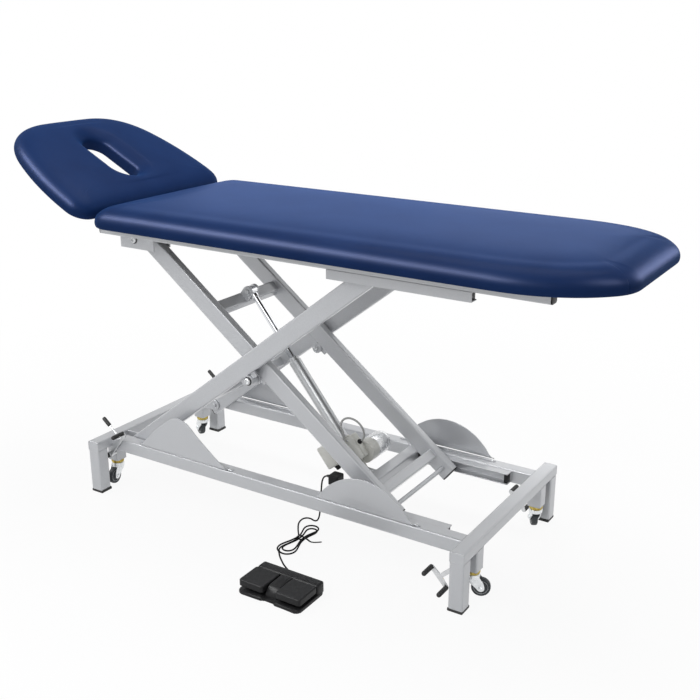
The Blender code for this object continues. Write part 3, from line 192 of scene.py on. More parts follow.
for row in LAMPS:
    soft_lamp(*row)
scene.objects["lamp_back"].visible_glossy = False
for row in EDGE_CARDS:
    soft_lamp(*row).visible_diffuse = False
for seen_in, hue, *row in VINYL_CARDS:
    card = soft_lamp(*row)
    card.data.color = hue
    card.visible_diffuse = False
    card.light_linking.receiver_collection = seen_in

# %% [markdown]
# ## Finishes
# Every surface is one of sixteen shop finishes. Plain colours would do from afar, but real paint and rubber
# are never quite even. Each finish is a Principled shader fed by small patterns that are fixed to the piece
# and measured in metres, so the grain keeps its real size on a bolt and on a beam.
# Short helpers lay a pattern, colour it, vary the gloss, raise the relief and set the shader's other levels.

# %% Patterns fixed to the piece
EVENLY = (1.0, 1.0, 1.0)


def new_finish(name, colour, metallic, roughness):
    made = bpy.data.materials.new(name)
    made.use_nodes = True
    shader = made.node_tree.nodes["Principled BSDF"]
    shader.inputs["Base Color"].default_value = (*colour, 1.0)
    shader.inputs["Metallic"].default_value = metallic
    shader.inputs["Roughness"].default_value = roughness
    return made


def spread_out(finish, stretch):
    """Places on the piece in metres, stretched for a grain with a direction."""
    nodes, links = finish.node_tree.nodes, finish.node_tree.links
    place = nodes.new("ShaderNodeTexCoord")
    lay = nodes.new("ShaderNodeMapping")
    lay.inputs["Scale"].default_value = stretch
    links.new(place.outputs["Object"], lay.inputs["Vector"])
    return lay.outputs["Vector"]


def speckle(finish, scale, detail=2.0, stretch=EVENLY):
    """Cloudy pattern with so many grains to the metre."""
    nodes, links = finish.node_tree.nodes, finish.node_tree.links
    pattern = nodes.new("ShaderNodeTexNoise")
    pattern.inputs["Scale"].default_value = scale
    pattern.inputs["Detail"].default_value = detail
    links.new(spread_out(finish, stretch), pattern.inputs["Vector"])
    return pattern.outputs["Fac"]


def pebble(finish, scale):
    """Pattern of small cells, like the grain of leather."""
    nodes, links = finish.node_tree.nodes, finish.node_tree.links
    pattern = nodes.new("ShaderNodeTexVoronoi")
    pattern.inputs["Scale"].default_value = scale
    links.new(spread_out(finish, EVENLY), pattern.inputs["Vector"])
    return pattern.outputs["Distance"]


print("patterns ready: cloudy and pebbled")

# %% Colour, gloss and relief from a pattern
TINT_FROM, TINT_TO = 0.35, 0.65
POLISH_FROM, POLISH_TO = 0.3, 0.7


def tint(finish, pattern, dark, light):
    """Base colour that runs from dark to light with the pattern."""
    nodes, links = finish.node_tree.nodes, finish.node_tree.links
    ramp = nodes.new("ShaderNodeValToRGB")
    ramp.color_ramp.elements[0].position = TINT_FROM
    ramp.color_ramp.elements[0].color = (*dark, 1.0)
    ramp.color_ramp.elements[1].position = TINT_TO
    ramp.color_ramp.elements[1].color = (*light, 1.0)
    links.new(pattern, ramp.inputs["Fac"])
    links.new(ramp.outputs["Color"], nodes["Principled BSDF"].inputs["Base Color"])


def polish(finish, pattern, smooth, rough):
    """Roughness between two values, by the pattern."""
    nodes, links = finish.node_tree.nodes, finish.node_tree.links
    spread = nodes.new("ShaderNodeMapRange")
    spread.inputs["From Min"].default_value = POLISH_FROM
    spread.inputs["From Max"].default_value = POLISH_TO
    spread.inputs["To Min"].default_value = smooth
    spread.inputs["To Max"].default_value = rough
    links.new(pattern, spread.inputs["Value"])
    links.new(spread.outputs["Result"], nodes["Principled BSDF"].inputs["Roughness"])


def relief(finish, pattern, strength, depth):
    """Raised grain; a second call stacks on the first."""
    nodes, links = finish.node_tree.nodes, finish.node_tree.links
    bump = nodes.new("ShaderNodeBump")
    bump.inputs["Strength"].default_value = strength
    bump.inputs["Distance"].default_value = depth
    target = nodes["Principled BSDF"].inputs["Normal"]
    if target.links:
        links.new(target.links[0].from_socket, bump.inputs["Normal"])
    links.new(pattern, bump.inputs["Height"])
    links.new(bump.outputs["Normal"], target)


def adjust(finish, levels):
    """Sets other levels of the finish's shader by name."""
    shader = finish.node_tree.nodes["Principled BSDF"]
    for name, level in levels.items():
        shader.inputs[name].default_value = level


print("finish helpers ready")

# %% [markdown]
# Silver powder coat covers the welded tubes. It has fine metal flakes in it and a slight orange-peel skin,
# so a mirror-like metal would be wrong: the shader is about a third metal and a third rough, under a clear
# coat. The corners of a real tube are rolled, so the shader also rounds the light at every edge a little.

# %% Powder coat, zinc and chrome
powder_coat = new_finish("powder_coat", (0.54, 0.55, 0.57), 0.28, 0.36)
tint(powder_coat, speckle(powder_coat, 1400.0, 3.0), (0.49, 0.50, 0.52), (0.59, 0.60, 0.62))
polish(powder_coat, speckle(powder_coat, 9.0, 3.0), 0.33, 0.40)
relief(powder_coat, speckle(powder_coat, 420.0), 0.08, 0.0004)
adjust(powder_coat, {"Coat Weight": 0.36, "Coat Roughness": 0.12})
EDGE_ROUND, EDGE_SAMPLES = 0.0024, 8
paint = powder_coat.node_tree
paint_skin = paint.nodes["Principled BSDF"].inputs
rounding = paint.nodes.new("ShaderNodeBevel")
rounding.samples = EDGE_SAMPLES
rounding.inputs["Radius"].default_value = EDGE_ROUND
grain = paint_skin["Normal"].links[0].from_node
paint.links.new(rounding.outputs["Normal"], grain.inputs["Normal"])
paint.links.new(rounding.outputs["Normal"], paint_skin["Coat Normal"])

bright_zinc = new_finish("bright_zinc", (0.62, 0.63, 0.64), 0.90, 0.30)
tint(bright_zinc, speckle(bright_zinc, 60.0, 3.0), (0.585, 0.595, 0.605), (0.655, 0.665, 0.675))
polish(bright_zinc, speckle(bright_zinc, 120.0, 3.0), 0.26, 0.34)
relief(bright_zinc, speckle(bright_zinc, 900.0), 0.05, 0.0003)

clear_zinc = new_finish("clear_zinc", (0.80, 0.82, 0.83), 0.80, 0.30)
tint(clear_zinc, speckle(clear_zinc, 90.0, 3.0), (0.75, 0.77, 0.78), (0.85, 0.87, 0.88))
polish(clear_zinc, speckle(clear_zinc, 140.0, 3.0), 0.24, 0.34)

yellow_zinc = new_finish("yellow_zinc", (0.52, 0.40, 0.10), 0.85, 0.32)
tint(yellow_zinc, speckle(yellow_zinc, 130.0, 3.0), (0.42, 0.30, 0.06), (0.62, 0.52, 0.17))
polish(yellow_zinc, speckle(yellow_zinc, 260.0, 3.0), 0.24, 0.42)

polished_rod = new_finish("polished_rod", (0.80, 0.81, 0.83), 1.0, 0.12)
polish(polished_rod, speckle(polished_rod, 30.0, 4.0, (1.0, 1.0, 9.0)), 0.08, 0.18)

drawn_aluminium = new_finish("drawn_aluminium", (0.56, 0.57, 0.58), 0.75, 0.34)
polish(drawn_aluminium, speckle(drawn_aluminium, 40.0, 3.0), 0.30, 0.38)

cast_silver = new_finish("cast_silver", (0.82, 0.83, 0.84), 0.55, 0.28)
polish(cast_silver, speckle(cast_silver, 90.0, 3.0), 0.22, 0.34)
relief(cast_silver, speckle(cast_silver, 700.0), 0.06, 0.0003)
METALS = (powder_coat, bright_zinc, clear_zinc, yellow_zinc, polished_rod, drawn_aluminium, cast_silver)
print("metal finishes", [m.name for m in METALS])

# %% [markdown]
# The vinyl is a soft coated cloth with a fine pebbled grain. At a low angle it takes a pale sheen from the
# room, which is why the flat top looks lighter than the sides. A thin clear skin over a matt blue shows the
# room: its weight says how much, and its roughness how soft the lines of light are. A little blue sheen
# lightens the places that are seen at a slant.

# %% Vinyl, plastics and rubber
couch_vinyl = new_finish("couch_vinyl", (0.0065, 0.0215, 0.082), 0.0, 0.50)
tint(couch_vinyl, speckle(couch_vinyl, 7.0, 4.0), (0.0058, 0.0195, 0.076), (0.0072, 0.0235, 0.088))
relief(couch_vinyl, pebble(couch_vinyl, 850.0), 0.08, 0.0004)
relief(couch_vinyl, speckle(couch_vinyl, 45.0), 0.05, 0.0010)
adjust(couch_vinyl, {"Specular IOR Level": 0.0, "Coat Weight": 0.09, "Coat Roughness": 0.38, "Coat IOR": 1.5,
                     "Sheen Weight": 0.12, "Sheen Roughness": 0.35, "Sheen Tint": (0.16, 0.42, 1.0, 1.0)})

moulded_black = new_finish("moulded_black", (0.012, 0.012, 0.013), 0.0, 0.40)
tint(moulded_black, speckle(moulded_black, 500.0), (0.009, 0.009, 0.010), (0.016, 0.016, 0.017))
polish(moulded_black, speckle(moulded_black, 80.0, 3.0), 0.34, 0.48)
relief(moulded_black, pebble(moulded_black, 1500.0), 0.18, 0.0003)
adjust(moulded_black, {"Specular IOR Level": 0.20})

grip_rubber = new_finish("grip_rubber", (0.012, 0.012, 0.012), 0.0, 0.62)
tint(grip_rubber, speckle(grip_rubber, 300.0), (0.009, 0.009, 0.009), (0.018, 0.018, 0.018))
polish(grip_rubber, speckle(grip_rubber, 120.0), 0.55, 0.70)
relief(grip_rubber, speckle(grip_rubber, 1100.0), 0.15, 0.0003)

castor_tread = new_finish("castor_tread", (0.034, 0.041, 0.045), 0.0, 0.58)
tint(castor_tread, speckle(castor_tread, 220.0, 4.0), (0.027, 0.033, 0.037), (0.043, 0.050, 0.054))
polish(castor_tread, speckle(castor_tread, 90.0), 0.50, 0.68)
relief(castor_tread, speckle(castor_tread, 800.0), 0.15, 0.0003)

pale_shell = new_finish("pale_shell", (0.74, 0.735, 0.69), 0.0, 0.36)
tint(pale_shell, speckle(pale_shell, 14.0, 3.0), (0.71, 0.705, 0.66), (0.77, 0.765, 0.72))
polish(pale_shell, speckle(pale_shell, 70.0, 3.0), 0.30, 0.42)
relief(pale_shell, pebble(pale_shell, 1100.0), 0.08, 0.0003)

grey_core = new_finish("grey_core", (0.42, 0.43, 0.44), 0.0, 0.42)
tint(grey_core, speckle(grey_core, 180.0), (0.37, 0.38, 0.39), (0.47, 0.48, 0.49))
relief(grey_core, speckle(grey_core, 900.0), 0.08, 0.0003)

grey_sheath = new_finish("grey_sheath", (0.42, 0.42, 0.41), 0.0, 0.48)
tint(grey_sheath, speckle(grey_sheath, 260.0), (0.37, 0.37, 0.36), (0.47, 0.47, 0.46))
relief(grey_sheath, speckle(grey_sheath, 900.0), 0.08, 0.0002)

black_sheath = new_finish("black_sheath", (0.006, 0.006, 0.007), 0.0, 0.55)
tint(black_sheath, speckle(black_sheath, 260.0), (0.004, 0.004, 0.005), (0.009, 0.009, 0.010))
relief(black_sheath, speckle(black_sheath, 1200.0), 0.10, 0.0002)
adjust(black_sheath, {"Specular IOR Level": 0.08})
print("soft finishes ready")

# %% [markdown]
# Under each pad is a plywood board with a dark stained face. A wave pattern could draw the rings of the
# wood, but a peeled veneer shows long streaks instead. They run along the table, so one cloudy pattern
# stretched that way colours the board and a finer one raises it.

# %% Dark-faced plywood
dark_ply = new_finish("dark_ply", (0.050, 0.043, 0.038), 0.0, 0.55)
tint(dark_ply, speckle(dark_ply, 26.0, 6.0, (0.10, 1.0, 3.0)), (0.040, 0.034, 0.030), (0.062, 0.053, 0.047))
polish(dark_ply, speckle(dark_ply, 60.0, 3.0), 0.48, 0.64)
relief(dark_ply, speckle(dark_ply, 180.0, 4.0, (0.08, 1.0, 1.0)), 0.15, 0.0004)
adjust(dark_ply, {"Specular IOR Level": 0.12})
print("plywood", dark_ply.name)

# %% [markdown]
# ## Which solids stay
# The welded frames, the channels, the pins, the rollers, the boards, the foot caps and the cord's socket
# already have their real shape. They could be drawn again, but a welded tube is as plain as its solid, so
# they keep their shape and only get a finish.

# %% Finishes on the solids that stay
STAYING = {
    powder_coat: ["base_frame", "outer_arm_frame", "inner_arm_frame", "top_frame", "roller_channel_near",
                  "roller_channel_far", "lower_pivot_bolt_near", "lower_pivot_bolt_far", "base_roller_axle"],
    bright_zinc: ["rod_eye_pin", "head_hinge_pin_near", "head_hinge_pin_far",
                  "head_arm_near", "head_arm_far", "top_roller_axle"],
    grip_rubber: ["foot_cap_near_head", "foot_cap_near_foot", "foot_cap_far_head", "foot_cap_far_foot"],
    dark_ply: ["pad_board", "head_board"],
    moulded_black: ["cord_socket"],
}
for finish, names in STAYING.items():
    for name in names:
        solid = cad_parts[name]
        solid.data.materials.clear()
        solid.data.materials.append(finish)
print("solids that stay", sum(len(names) for names in STAYING.values()))

# %% [markdown]
# ## Shop drawings
# The table is drawn about the middle of its base. One matrix carries a drawing to the frame's own origin,
# and one more each for the parts that stand at an angle: the two pairs of arms, the lifting motor and the
# head section. All could be drawn in the room's own axes, but a leaning part is easier to draw level. So a
# piece is drawn in its own frame, and lands in its place.

# %% Frames of the table, the arms, the motor and the head
TABLE = Matrix.Translation((0.0050, 0.0965, 0.0))
ARM_LENGTH, ARM_REST = 1.045, math.radians(37.97452)
MOTOR_SLOPE, HEAD_TILT = math.radians(51.41911), math.radians(27.0)
BASE_PIVOT, SCISSOR_PIVOT = (-0.527, 0.0, 0.147), (-0.090509, 0.0, 0.436969)
ROD_PIN, HEAD_HINGE = (-0.223792, 0.0, 0.631074), (-0.567, 0.0, 0.815)
REACH = 0.615398


def place_at(x, y, z, turn=0.0, axis="Y"):
    return TABLE @ Matrix.Translation((x, y, z)) @ Matrix.Rotation(turn, 4, axis)


OUTER = place_at(*BASE_PIVOT, -ARM_REST)
INNER = place_at(*SCISSOR_PIVOT, ARM_REST)
LIFTER = place_at(*ROD_PIN, MOTOR_SLOPE)
HEAD = place_at(*HEAD_HINGE, math.pi, "Z") @ Matrix.Rotation(-HEAD_TILT, 4, "Y")
FACING = {"x": Matrix.Rotation(math.pi / 2, 4, "Y"), "-x": Matrix.Rotation(-math.pi / 2, 4, "Y"),
          "y": Matrix.Rotation(-math.pi / 2, 4, "X"), "-y": Matrix.Rotation(math.pi / 2, 4, "X"),
          "z": Matrix.Identity(4), "-z": Matrix.Rotation(math.pi, 4, "X")}
SIDES = {"near": -1, "far": 1}


def shift(x, y, z):
    return Matrix.Translation((x, y, z))


print("head hinge", [round(v, 3) for v in HEAD.translation])

# %% [markdown]
# ## Shaping helpers
# Most hardware is turned, cut from plate, or moulded as a soft block. Three helpers draw these into a mesh:
# a profile swept round an axis, an outline given a thickness, and a block with rounded edges. One more
# closes the mesh, shades it and lets it ride on its body. The last few draw arcs, rounded outlines and
# smooth lines. Modifiers could turn and bevel too, but here every point of a profile is a size on a drawing.

# %% Turned, cut and moulded shapes


def turned(shape, profile, place, steps=40):
    """Sweeps (radius, height) points once round the z axis of place."""
    rings = []
    for radius, height in profile:
        if radius < 1e-6:
            rings.append([shape.verts.new(place @ Vector((0.0, 0.0, height)))])
            continue
        ring = []
        for k in range(steps):
            a = 2 * math.pi * k / steps
            spot = Vector((radius * math.cos(a), radius * math.sin(a), height))
            ring.append(shape.verts.new(place @ spot))
        rings.append(ring)
    for low, high in zip(rings, rings[1:]):
        for k in range(steps):
            n = (k + 1) % steps
            if len(low) == 1 and len(high) > 1:
                shape.faces.new((low[0], high[n], high[k]))
            elif len(high) == 1 and len(low) > 1:
                shape.faces.new((low[k], low[n], high[0]))
            elif len(low) > 1:
                shape.faces.new((low[k], low[n], high[n], high[k]))


def cut_plate(shape, outline, thickness, place, edge=0.0):
    """Outline in the x-y plane of place, thickness along its z, with a small edge break."""
    low = [shape.verts.new(place @ Vector((u, v, 0.0))) for u, v in outline]
    high = [shape.verts.new(place @ Vector((u, v, thickness))) for u, v in outline]
    faces = [shape.faces.new(low[::-1]), shape.faces.new(high)]
    count = len(outline)
    for k in range(count):
        n = (k + 1) % count
        shape.faces.new((low[k], low[n], high[n], high[k]))
    if edge:
        rims = [e for f in faces for e in f.edges]
        bmesh.ops.bevel(shape, geom=rims, offset=edge, segments=2, profile=0.5, affect="EDGES")


def soft_block(shape, size, place, edge, segments=3):
    """Moulded block with rounded edges."""
    made = bmesh.ops.create_cube(shape, size=1.0, matrix=place @ Matrix.Diagonal((*size, 1.0)))
    edges = {e for v in made["verts"] for e in v.link_edges}
    bmesh.ops.bevel(shape, geom=list(edges), offset=edge, segments=segments, profile=0.5, affect="EDGES")


print("turned, cut and moulded shapes ready")

# %% Closing a mesh, arcs and smooth lines


def show(name, shape, finish, carrier, sharp=34.0):
    """Closes the mesh, shades it and lets it ride on its body."""
    bmesh.ops.remove_doubles(shape, verts=shape.verts, dist=1e-6)
    bmesh.ops.recalc_face_normals(shape, faces=shape.faces)
    mesh = bpy.data.meshes.new(name)
    shape.to_mesh(mesh)
    shape.free()
    mesh.materials.append(finish)
    mesh.shade_smooth()
    mesh.set_sharp_from_angle(angle=math.radians(sharp))
    made = bpy.data.objects.new(name, mesh)
    scene.collection.objects.link(made)
    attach(made, carrier)
    return made


def arc(centre, radius, start, end, steps):
    turns = [math.radians(start + (end - start) * k / steps) for k in range(steps + 1)]
    return [(centre[0] + radius * math.cos(t), centre[1] + radius * math.sin(t)) for t in turns]


def rounded_rectangle(width, height, radius, steps=5):
    u, v = width / 2 - radius, height / 2 - radius
    points = []
    for centre, start in (((u, v), 0), ((-u, v), 90), ((-u, -v), 180), ((u, -v), 270)):
        points += arc(centre, radius, start, start + 90, steps)
    return points


def flowing(points, pieces=8):
    """Smooth open line through the points, in two or three dimensions."""
    spots = [Vector(p) for p in points]
    spots = [spots[0] * 2 - spots[1]] + spots + [spots[-1] * 2 - spots[-2]]
    line = []
    for a, b, c, d in zip(spots, spots[1:], spots[2:], spots[3:]):
        for k in range(pieces):
            t = k / pieces
            line.append(0.5 * (2 * b + (c - a) * t + (2 * a - 5 * b + 4 * c - d) * t * t
                               + (3 * b - a - 3 * c + d) * t ** 3))
    return line + [spots[-2]]


def length_of(points):
    return sum((q - p).length for p, q in zip(points, points[1:]))


print("shaping helpers ready")

# %% [markdown]
# ## Foot switch cord
# The cord leaves a socket on the base, drops to the floor, lies in a loose tied bow and goes on to the foot
# switch. It could be dropped as a simulated rope, but a bow is wound by hand and keeps its outline. So its
# route repeats the solid's own: a few points for the free stretches and a waisted loop of two turns, one
# above the other at the waist, for the bow. The line is laid out again in even steps of four millimetres,
# so its bends are as round as the real cord's.

# %% Bow of the foot switch cord
CORD_RADIUS, CORD_FLOOR, CORD_STEP = 0.0023, 0.0027, 0.004
BOW_CENTRE, BOW_TURN = Vector((0.0870, -0.2060)), math.radians(92.0)
BOW_LONG, BOW_LEAN = 0.0715, -0.0085
BOW_WAIST, BOW_SWELL, BOW_SKEW = 0.0045, 0.0275, -0.0040
BOW_TURNS, BOW_POINTS, BOW_START = 1, 36, math.radians(100.0)
WAIST_PITCH, LOOP_PITCH = 2 * CORD_RADIUS + 0.0011, 0.015
BOW_LIFT = 2 * CORD_RADIUS + 0.0012
SOCKET_FACE = 0.137982 - 0.0163
SOCKET_Y, SOCKET_Z = -0.105, 0.163
SWITCH_X, SWITCH_BACK = 0.198, -0.397


def beside_bow(along, across, z):
    spot = Vector((along, across))
    spot.rotate(Matrix.Rotation(BOW_TURN, 2))
    return Vector((BOW_CENTRE.x + spot.x, BOW_CENTRE.y + spot.y, z))


def winding(turn, layer):
    """Spot on the bow, counted in turns from its start."""
    angle = BOW_START + 2 * math.pi * turn
    c, s = math.cos(angle), math.sin(angle)
    half = BOW_WAIST + (BOW_SWELL + BOW_SKEW * c) * c * c
    spot = Vector(((BOW_LONG + BOW_LEAN * c) * c, s * half))
    way = Vector((-s * (BOW_LONG + 2 * BOW_LEAN * c),
                  c * half - s * s * (2 * BOW_SWELL * c + 3 * BOW_SKEW * c * c)))
    pitch = WAIST_PITCH + (LOOP_PITCH - WAIST_PITCH) * c * c
    spot += Vector((way.y, -way.x)).normalized() * pitch * abs(BOW_TURNS - turn)
    return beside_bow(spot.x, spot.y, CORD_FLOOR + layer * BOW_LIFT)


def layer_at(turn):
    rise = min(1.0, max(0.0, (turn - (BOW_TURNS - 0.25)) / 0.5))
    return rise * rise * (3 - 2 * rise)


def even_steps(line, step):
    """The line laid out again in equal steps along its length."""
    count = max(2, round(length_of(line) / step))
    size, made, run = length_of(line) / count, [line[0]], 0.0
    for p, q in zip(line, line[1:]):
        part = (q - p).length
        while len(made) < count and run + part >= size * len(made):
            made.append(p.lerp(q, (size * len(made) - run) / part))
        run += part
    return made + [line[-1]]


print("bow of %d turns" % (2 * BOW_TURNS))

# %% Route of the foot switch cord
RUN_DOWN = ((0.0, 0.0, SOCKET_Z), (-0.012, 0.0, 0.1625), (-0.0235, 0.0, 0.1565), (-0.031, 0.0, 0.140),
            (-0.035, 0.0005, 0.105), (-0.0385, 0.0015, 0.060), (-0.044, 0.003, 0.026),
            (-0.053, 0.005, 0.008))
RUN_ON_FLOOR = ((0.0560, -0.0975), (0.0425, -0.0935), (0.0305, -0.0955), (0.0232, -0.1050),
                (0.0232, -0.1190), (0.0285, -0.1360), (0.0400, -0.1550), (0.0530, -0.1730),
                (0.0655, -0.1890))
TAIL_ON_FLOOR = ((0.0800, -0.3030, 0.005), (0.0885, -0.3120, 0.002), (0.0980, -0.3205, 0.0),
                 (0.1100, -0.3310, 0.0), (0.1260, -0.3440, 0.0), (0.1450, -0.3560, 0.0),
                 (0.1640, -0.3660, 0.0), (0.1810, -0.3735, 0.0015), (0.1920, -0.3800, 0.005))
free_run = [Vector((SOCKET_FACE + x, SOCKET_Y + y, z)) for x, y, z in RUN_DOWN]
free_run += [Vector((x, y, CORD_FLOOR)) for x, y in RUN_ON_FLOOR]
lead_in = [winding(-turn, 0.0) for turn in (0.030, 0.015)]
steps = 2 * BOW_TURNS * BOW_POINTS
bow = [winding(k / BOW_POINTS, layer_at(k / BOW_POINTS)) for k in range(steps + 1)]
lead_out = [winding(2 * BOW_TURNS + turn, 1.0) for turn in (0.042, 0.083, 0.125, 0.165)]
free_tail = [Vector((x, y, CORD_FLOOR + up)) for x, y, up in TAIL_ON_FLOOR]
free_tail += [Vector((0.1970, -0.3875, 0.0120)), Vector((SWITCH_X, SWITCH_BACK + 0.0007, 0.014))]
first_leg = flowing(free_run + lead_in + [bow[0]])
last_leg = flowing([bow[-1]] + lead_out + free_tail)
loops = flowing(bow, 4)
cord_line = even_steps([TABLE @ p for p in first_leg[:-1] + loops + last_leg[1:]], CORD_STEP)

# %% Foot switch cord as a round curve


def round_cord(name, points, radius, finish, carrier):
    curve = bpy.data.curves.new(name, "CURVE")
    curve.dimensions = "3D"
    curve.bevel_depth = radius
    curve.bevel_resolution = 4
    curve.use_fill_caps = True
    line = curve.splines.new("POLY")
    line.points.add(len(points) - 1)
    for spot, place in zip(line.points, points):
        spot.co = (*place, 1.0)
    line.use_smooth = True
    curve.materials.append(finish)
    made = bpy.data.objects.new(name, curve)
    scene.collection.objects.link(made)
    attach(made, carrier)
    return made


switch_cord = round_cord("switch_cord", cord_line, CORD_RADIUS, black_sheath, "base")
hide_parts("cord_run", "cord_hank", "cord_tail")
print("cord points", len(cord_line))

# %% [markdown]
# A moulded boot eases the cord out of the socket and into the switch. It is turned from a ribbed profile,
# because a plain cylinder would hide that it bends. A flat strap holds the bow at its waist. The strap is a
# thin band round the crossing cords, with a small lock on top and a long free end that lies on the floor.

# %% Boots on the cord
boot_shape = bmesh.new()
boot = [(0.0, 0.0), (0.0062, 0.0), (0.0062, 0.003), (0.0050, 0.0036), (0.0046, 0.006), (0.0050, 0.0066),
        (0.0042, 0.0074), (0.0039, 0.0096), (0.0043, 0.0102), (0.0036, 0.011), (0.0030, 0.0145),
        (0.0, 0.0145)]
turned(boot_shape, boot, place_at(SOCKET_FACE, SOCKET_Y, SOCKET_Z) @ FACING["-x"], 28)
socket_boot = show("socket_boot", boot_shape, grip_rubber, "base")
boot_shape = bmesh.new()
SHORT_BOOT = 0.62
short_boot = [(r, h * SHORT_BOOT) for r, h in boot]
turned(boot_shape, short_boot, place_at(SWITCH_X, SWITCH_BACK, 0.0139) @ FACING["y"], 28)
switch_boot = show("switch_boot", boot_shape, grip_rubber, "base")
print("boots", [o.name for o in (socket_boot, switch_boot)])

# %% Strap round the waist of the bow
strap = bmesh.new()
STRAP_MIDDLE, STRAP_HALF, STRAP_LOW, STRAP_HIGH = 0.0014, 0.0128, 0.0003, 0.0114
STRAP_THICK, STRAP_WIDE = 0.0004, 0.0032
LOCK_SIZE, LOCK_EDGE, LOCK_UP = (0.0086, 0.0064, 0.0030), 0.0009, 0.0016
corner = (STRAP_HIGH - STRAP_LOW) / 2
middle = (STRAP_HIGH + STRAP_LOW) / 2


def strap_ring(grow):
    right = arc((STRAP_MIDDLE + STRAP_HALF - corner, middle), corner + grow, -90, 90, 10)
    return right + arc((STRAP_MIDDLE - STRAP_HALF + corner, middle), corner + grow, 90, 270, 10)


bands = ((0.0, -STRAP_WIDE), (STRAP_THICK, -STRAP_WIDE), (STRAP_THICK, STRAP_WIDE), (0.0, STRAP_WIDE))
rows = []
for grow, along in bands:
    rows.append([strap.verts.new(TABLE @ beside_bow(along, u, v)) for u, v in strap_ring(grow)])
for a, b in zip(rows, rows[1:] + rows[:1]):
    for k in range(len(a)):
        n = (k + 1) % len(a)
        strap.faces.new((a[k], a[n], b[n], b[k]))
lock_turn = Matrix.Rotation(BOW_TURN, 4, "Z")
lock_at = beside_bow(0.0, STRAP_MIDDLE, STRAP_HIGH + LOCK_UP)
soft_block(strap, LOCK_SIZE, TABLE @ Matrix.Translation(lock_at) @ lock_turn, LOCK_EDGE, 2)
free_end = [(0.0972, -0.2060, 0.0112), (0.1085, -0.2055, 0.0066), (0.1170, -0.2045, 0.0024),
            (0.1260, -0.2000, 0.0010), (0.1345, -0.1935, 0.0008), (0.1429, -0.1862, 0.0008)]
line = flowing(free_end, 5)
edges = []
for k, spot in enumerate(line):
    way = line[min(k + 1, len(line) - 1)] - line[max(k - 1, 0)]
    over = Vector((-way.y, way.x, 0.0)).normalized() * STRAP_WIDE * (0.5 if k == len(line) - 1 else 1.0)
    up = Vector((0.0, 0.0, STRAP_THICK))
    corners = (spot - over, spot + over, spot + over + up, spot - over + up)
    edges.append([strap.verts.new(TABLE @ p) for p in corners])
for a, b in zip(edges, edges[1:]):
    for k in range(4):
        n = (k + 1) % 4
        strap.faces.new((a[k], a[n], b[n], b[k]))
strap.faces.new(edges[0][::-1])
strap.faces.new(edges[-1])
bow_strap = show("bow_strap", strap, moulded_black, "base")
print("cord pieces", [o.name for o in (socket_boot, switch_boot, bow_strap)])

# %% [markdown]
# ## Motor cable
# A grey cable comes out of the gearbox's top, loops out and goes into the control box. Both ride on the
# lifter, so the loop never stretches and needs no simulation. A round curve is enough: its line repeats the
# solid's route in the lifter's own frame.

# %% Motor cable
CABLE_RADIUS = 0.003
MOTOR_AT, MOTOR_RADIUS = Vector((REACH - 0.042, 0.0, 0.021)), 0.033
GEAR_BEGIN, GEAR_TOP = REACH - 0.105, 0.039
BOX_BEGIN, BOX_END, BOX_TOP = REACH - 0.122, REACH - 0.052, 0.011
cable_from = Vector((GEAR_BEGIN + 0.030, 0.010, GEAR_TOP + 0.0003))
cable_to = Vector((BOX_END - 0.020, -0.048, BOX_TOP + CABLE_RADIUS + 0.0003))
CABLE_BENDS = ((0.0, 0.0, 0.013), (-0.010, 0.0, 0.028), (-0.032, -0.002, 0.037), (-0.056, -0.006, 0.034),
               (-0.074, -0.013, 0.021), (-0.077, -0.022, 0.006), (-0.066, -0.030, -0.004),
               (-0.046, -0.036, -0.006))
cable_route = [cable_from] + [cable_from + Vector(p) for p in CABLE_BENDS]
cable_route += [Vector((GEAR_BEGIN + 0.006, -0.036, GEAR_TOP - 0.012)),
                cable_to + Vector((-0.016, 0.004, 0.006)), cable_to]
cable_line = even_steps([LIFTER @ p for p in flowing(cable_route, 10)], CORD_STEP)
motor_lead = round_cord("motor_lead", cable_line, CABLE_RADIUS, grey_sheath, "actuator")
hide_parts("motor_cable")

# %% [markdown]
# ## Main pad
# The pad is firm foam on a board, covered in one sheet of vinyl that is pulled over the edge and stapled
# below. It could be a bevelled slab, but then light would run along it in dead straight bands. Instead the
# cover is drawn as rings from the board's pocket round the side to the middle of the top, a little too
# small. A short cloth run then blows it up against its stapled rim. Only the swelling straight out of the
# surface is kept: evened out between neighbours, so that no wrinkle stays, and capped to a few millimetres.

# %% Outline of a pad
PAD_LOW, PAD_THICK = 0.835, 0.0555
POCKET_INSET, POCKET_DEPTH = 0.0300, 0.0126
MAIN_PAD = (-0.555, 0.959, 0.322, 0.672, 0.56, 0.182, 0.070, 0.125)
HEAD_PAD = (0.0175, 0.466, 0.320, 0.073, 0.336, 0.235, 0.061, 0.212)
START_POINTS, CORNER_STEPS, TAPER_POINTS, ROUND_POINTS, END_POINTS = 14, 14, 30, 18, 11
SIDE_STEPS = {MAIN_PAD: 44, HEAD_PAD: 8}
PLEAT, PLEAT_HALF = 0.34, 0.016
ROUND_SHARES = [k / ROUND_POINTS for k in range(ROUND_POINTS)]
ROUND_SHARES = sorted(ROUND_SHARES + [PLEAT - PLEAT_HALF, PLEAT, PLEAT + PLEAT_HALF])


def curve_towards(start, corner, end, shares):
    """Spots on the curve that leaves start towards corner and comes to end from it."""
    return [start * (1 - u) ** 2 + corner * (2 * u * (1 - u)) + end * u * u for u in shares]


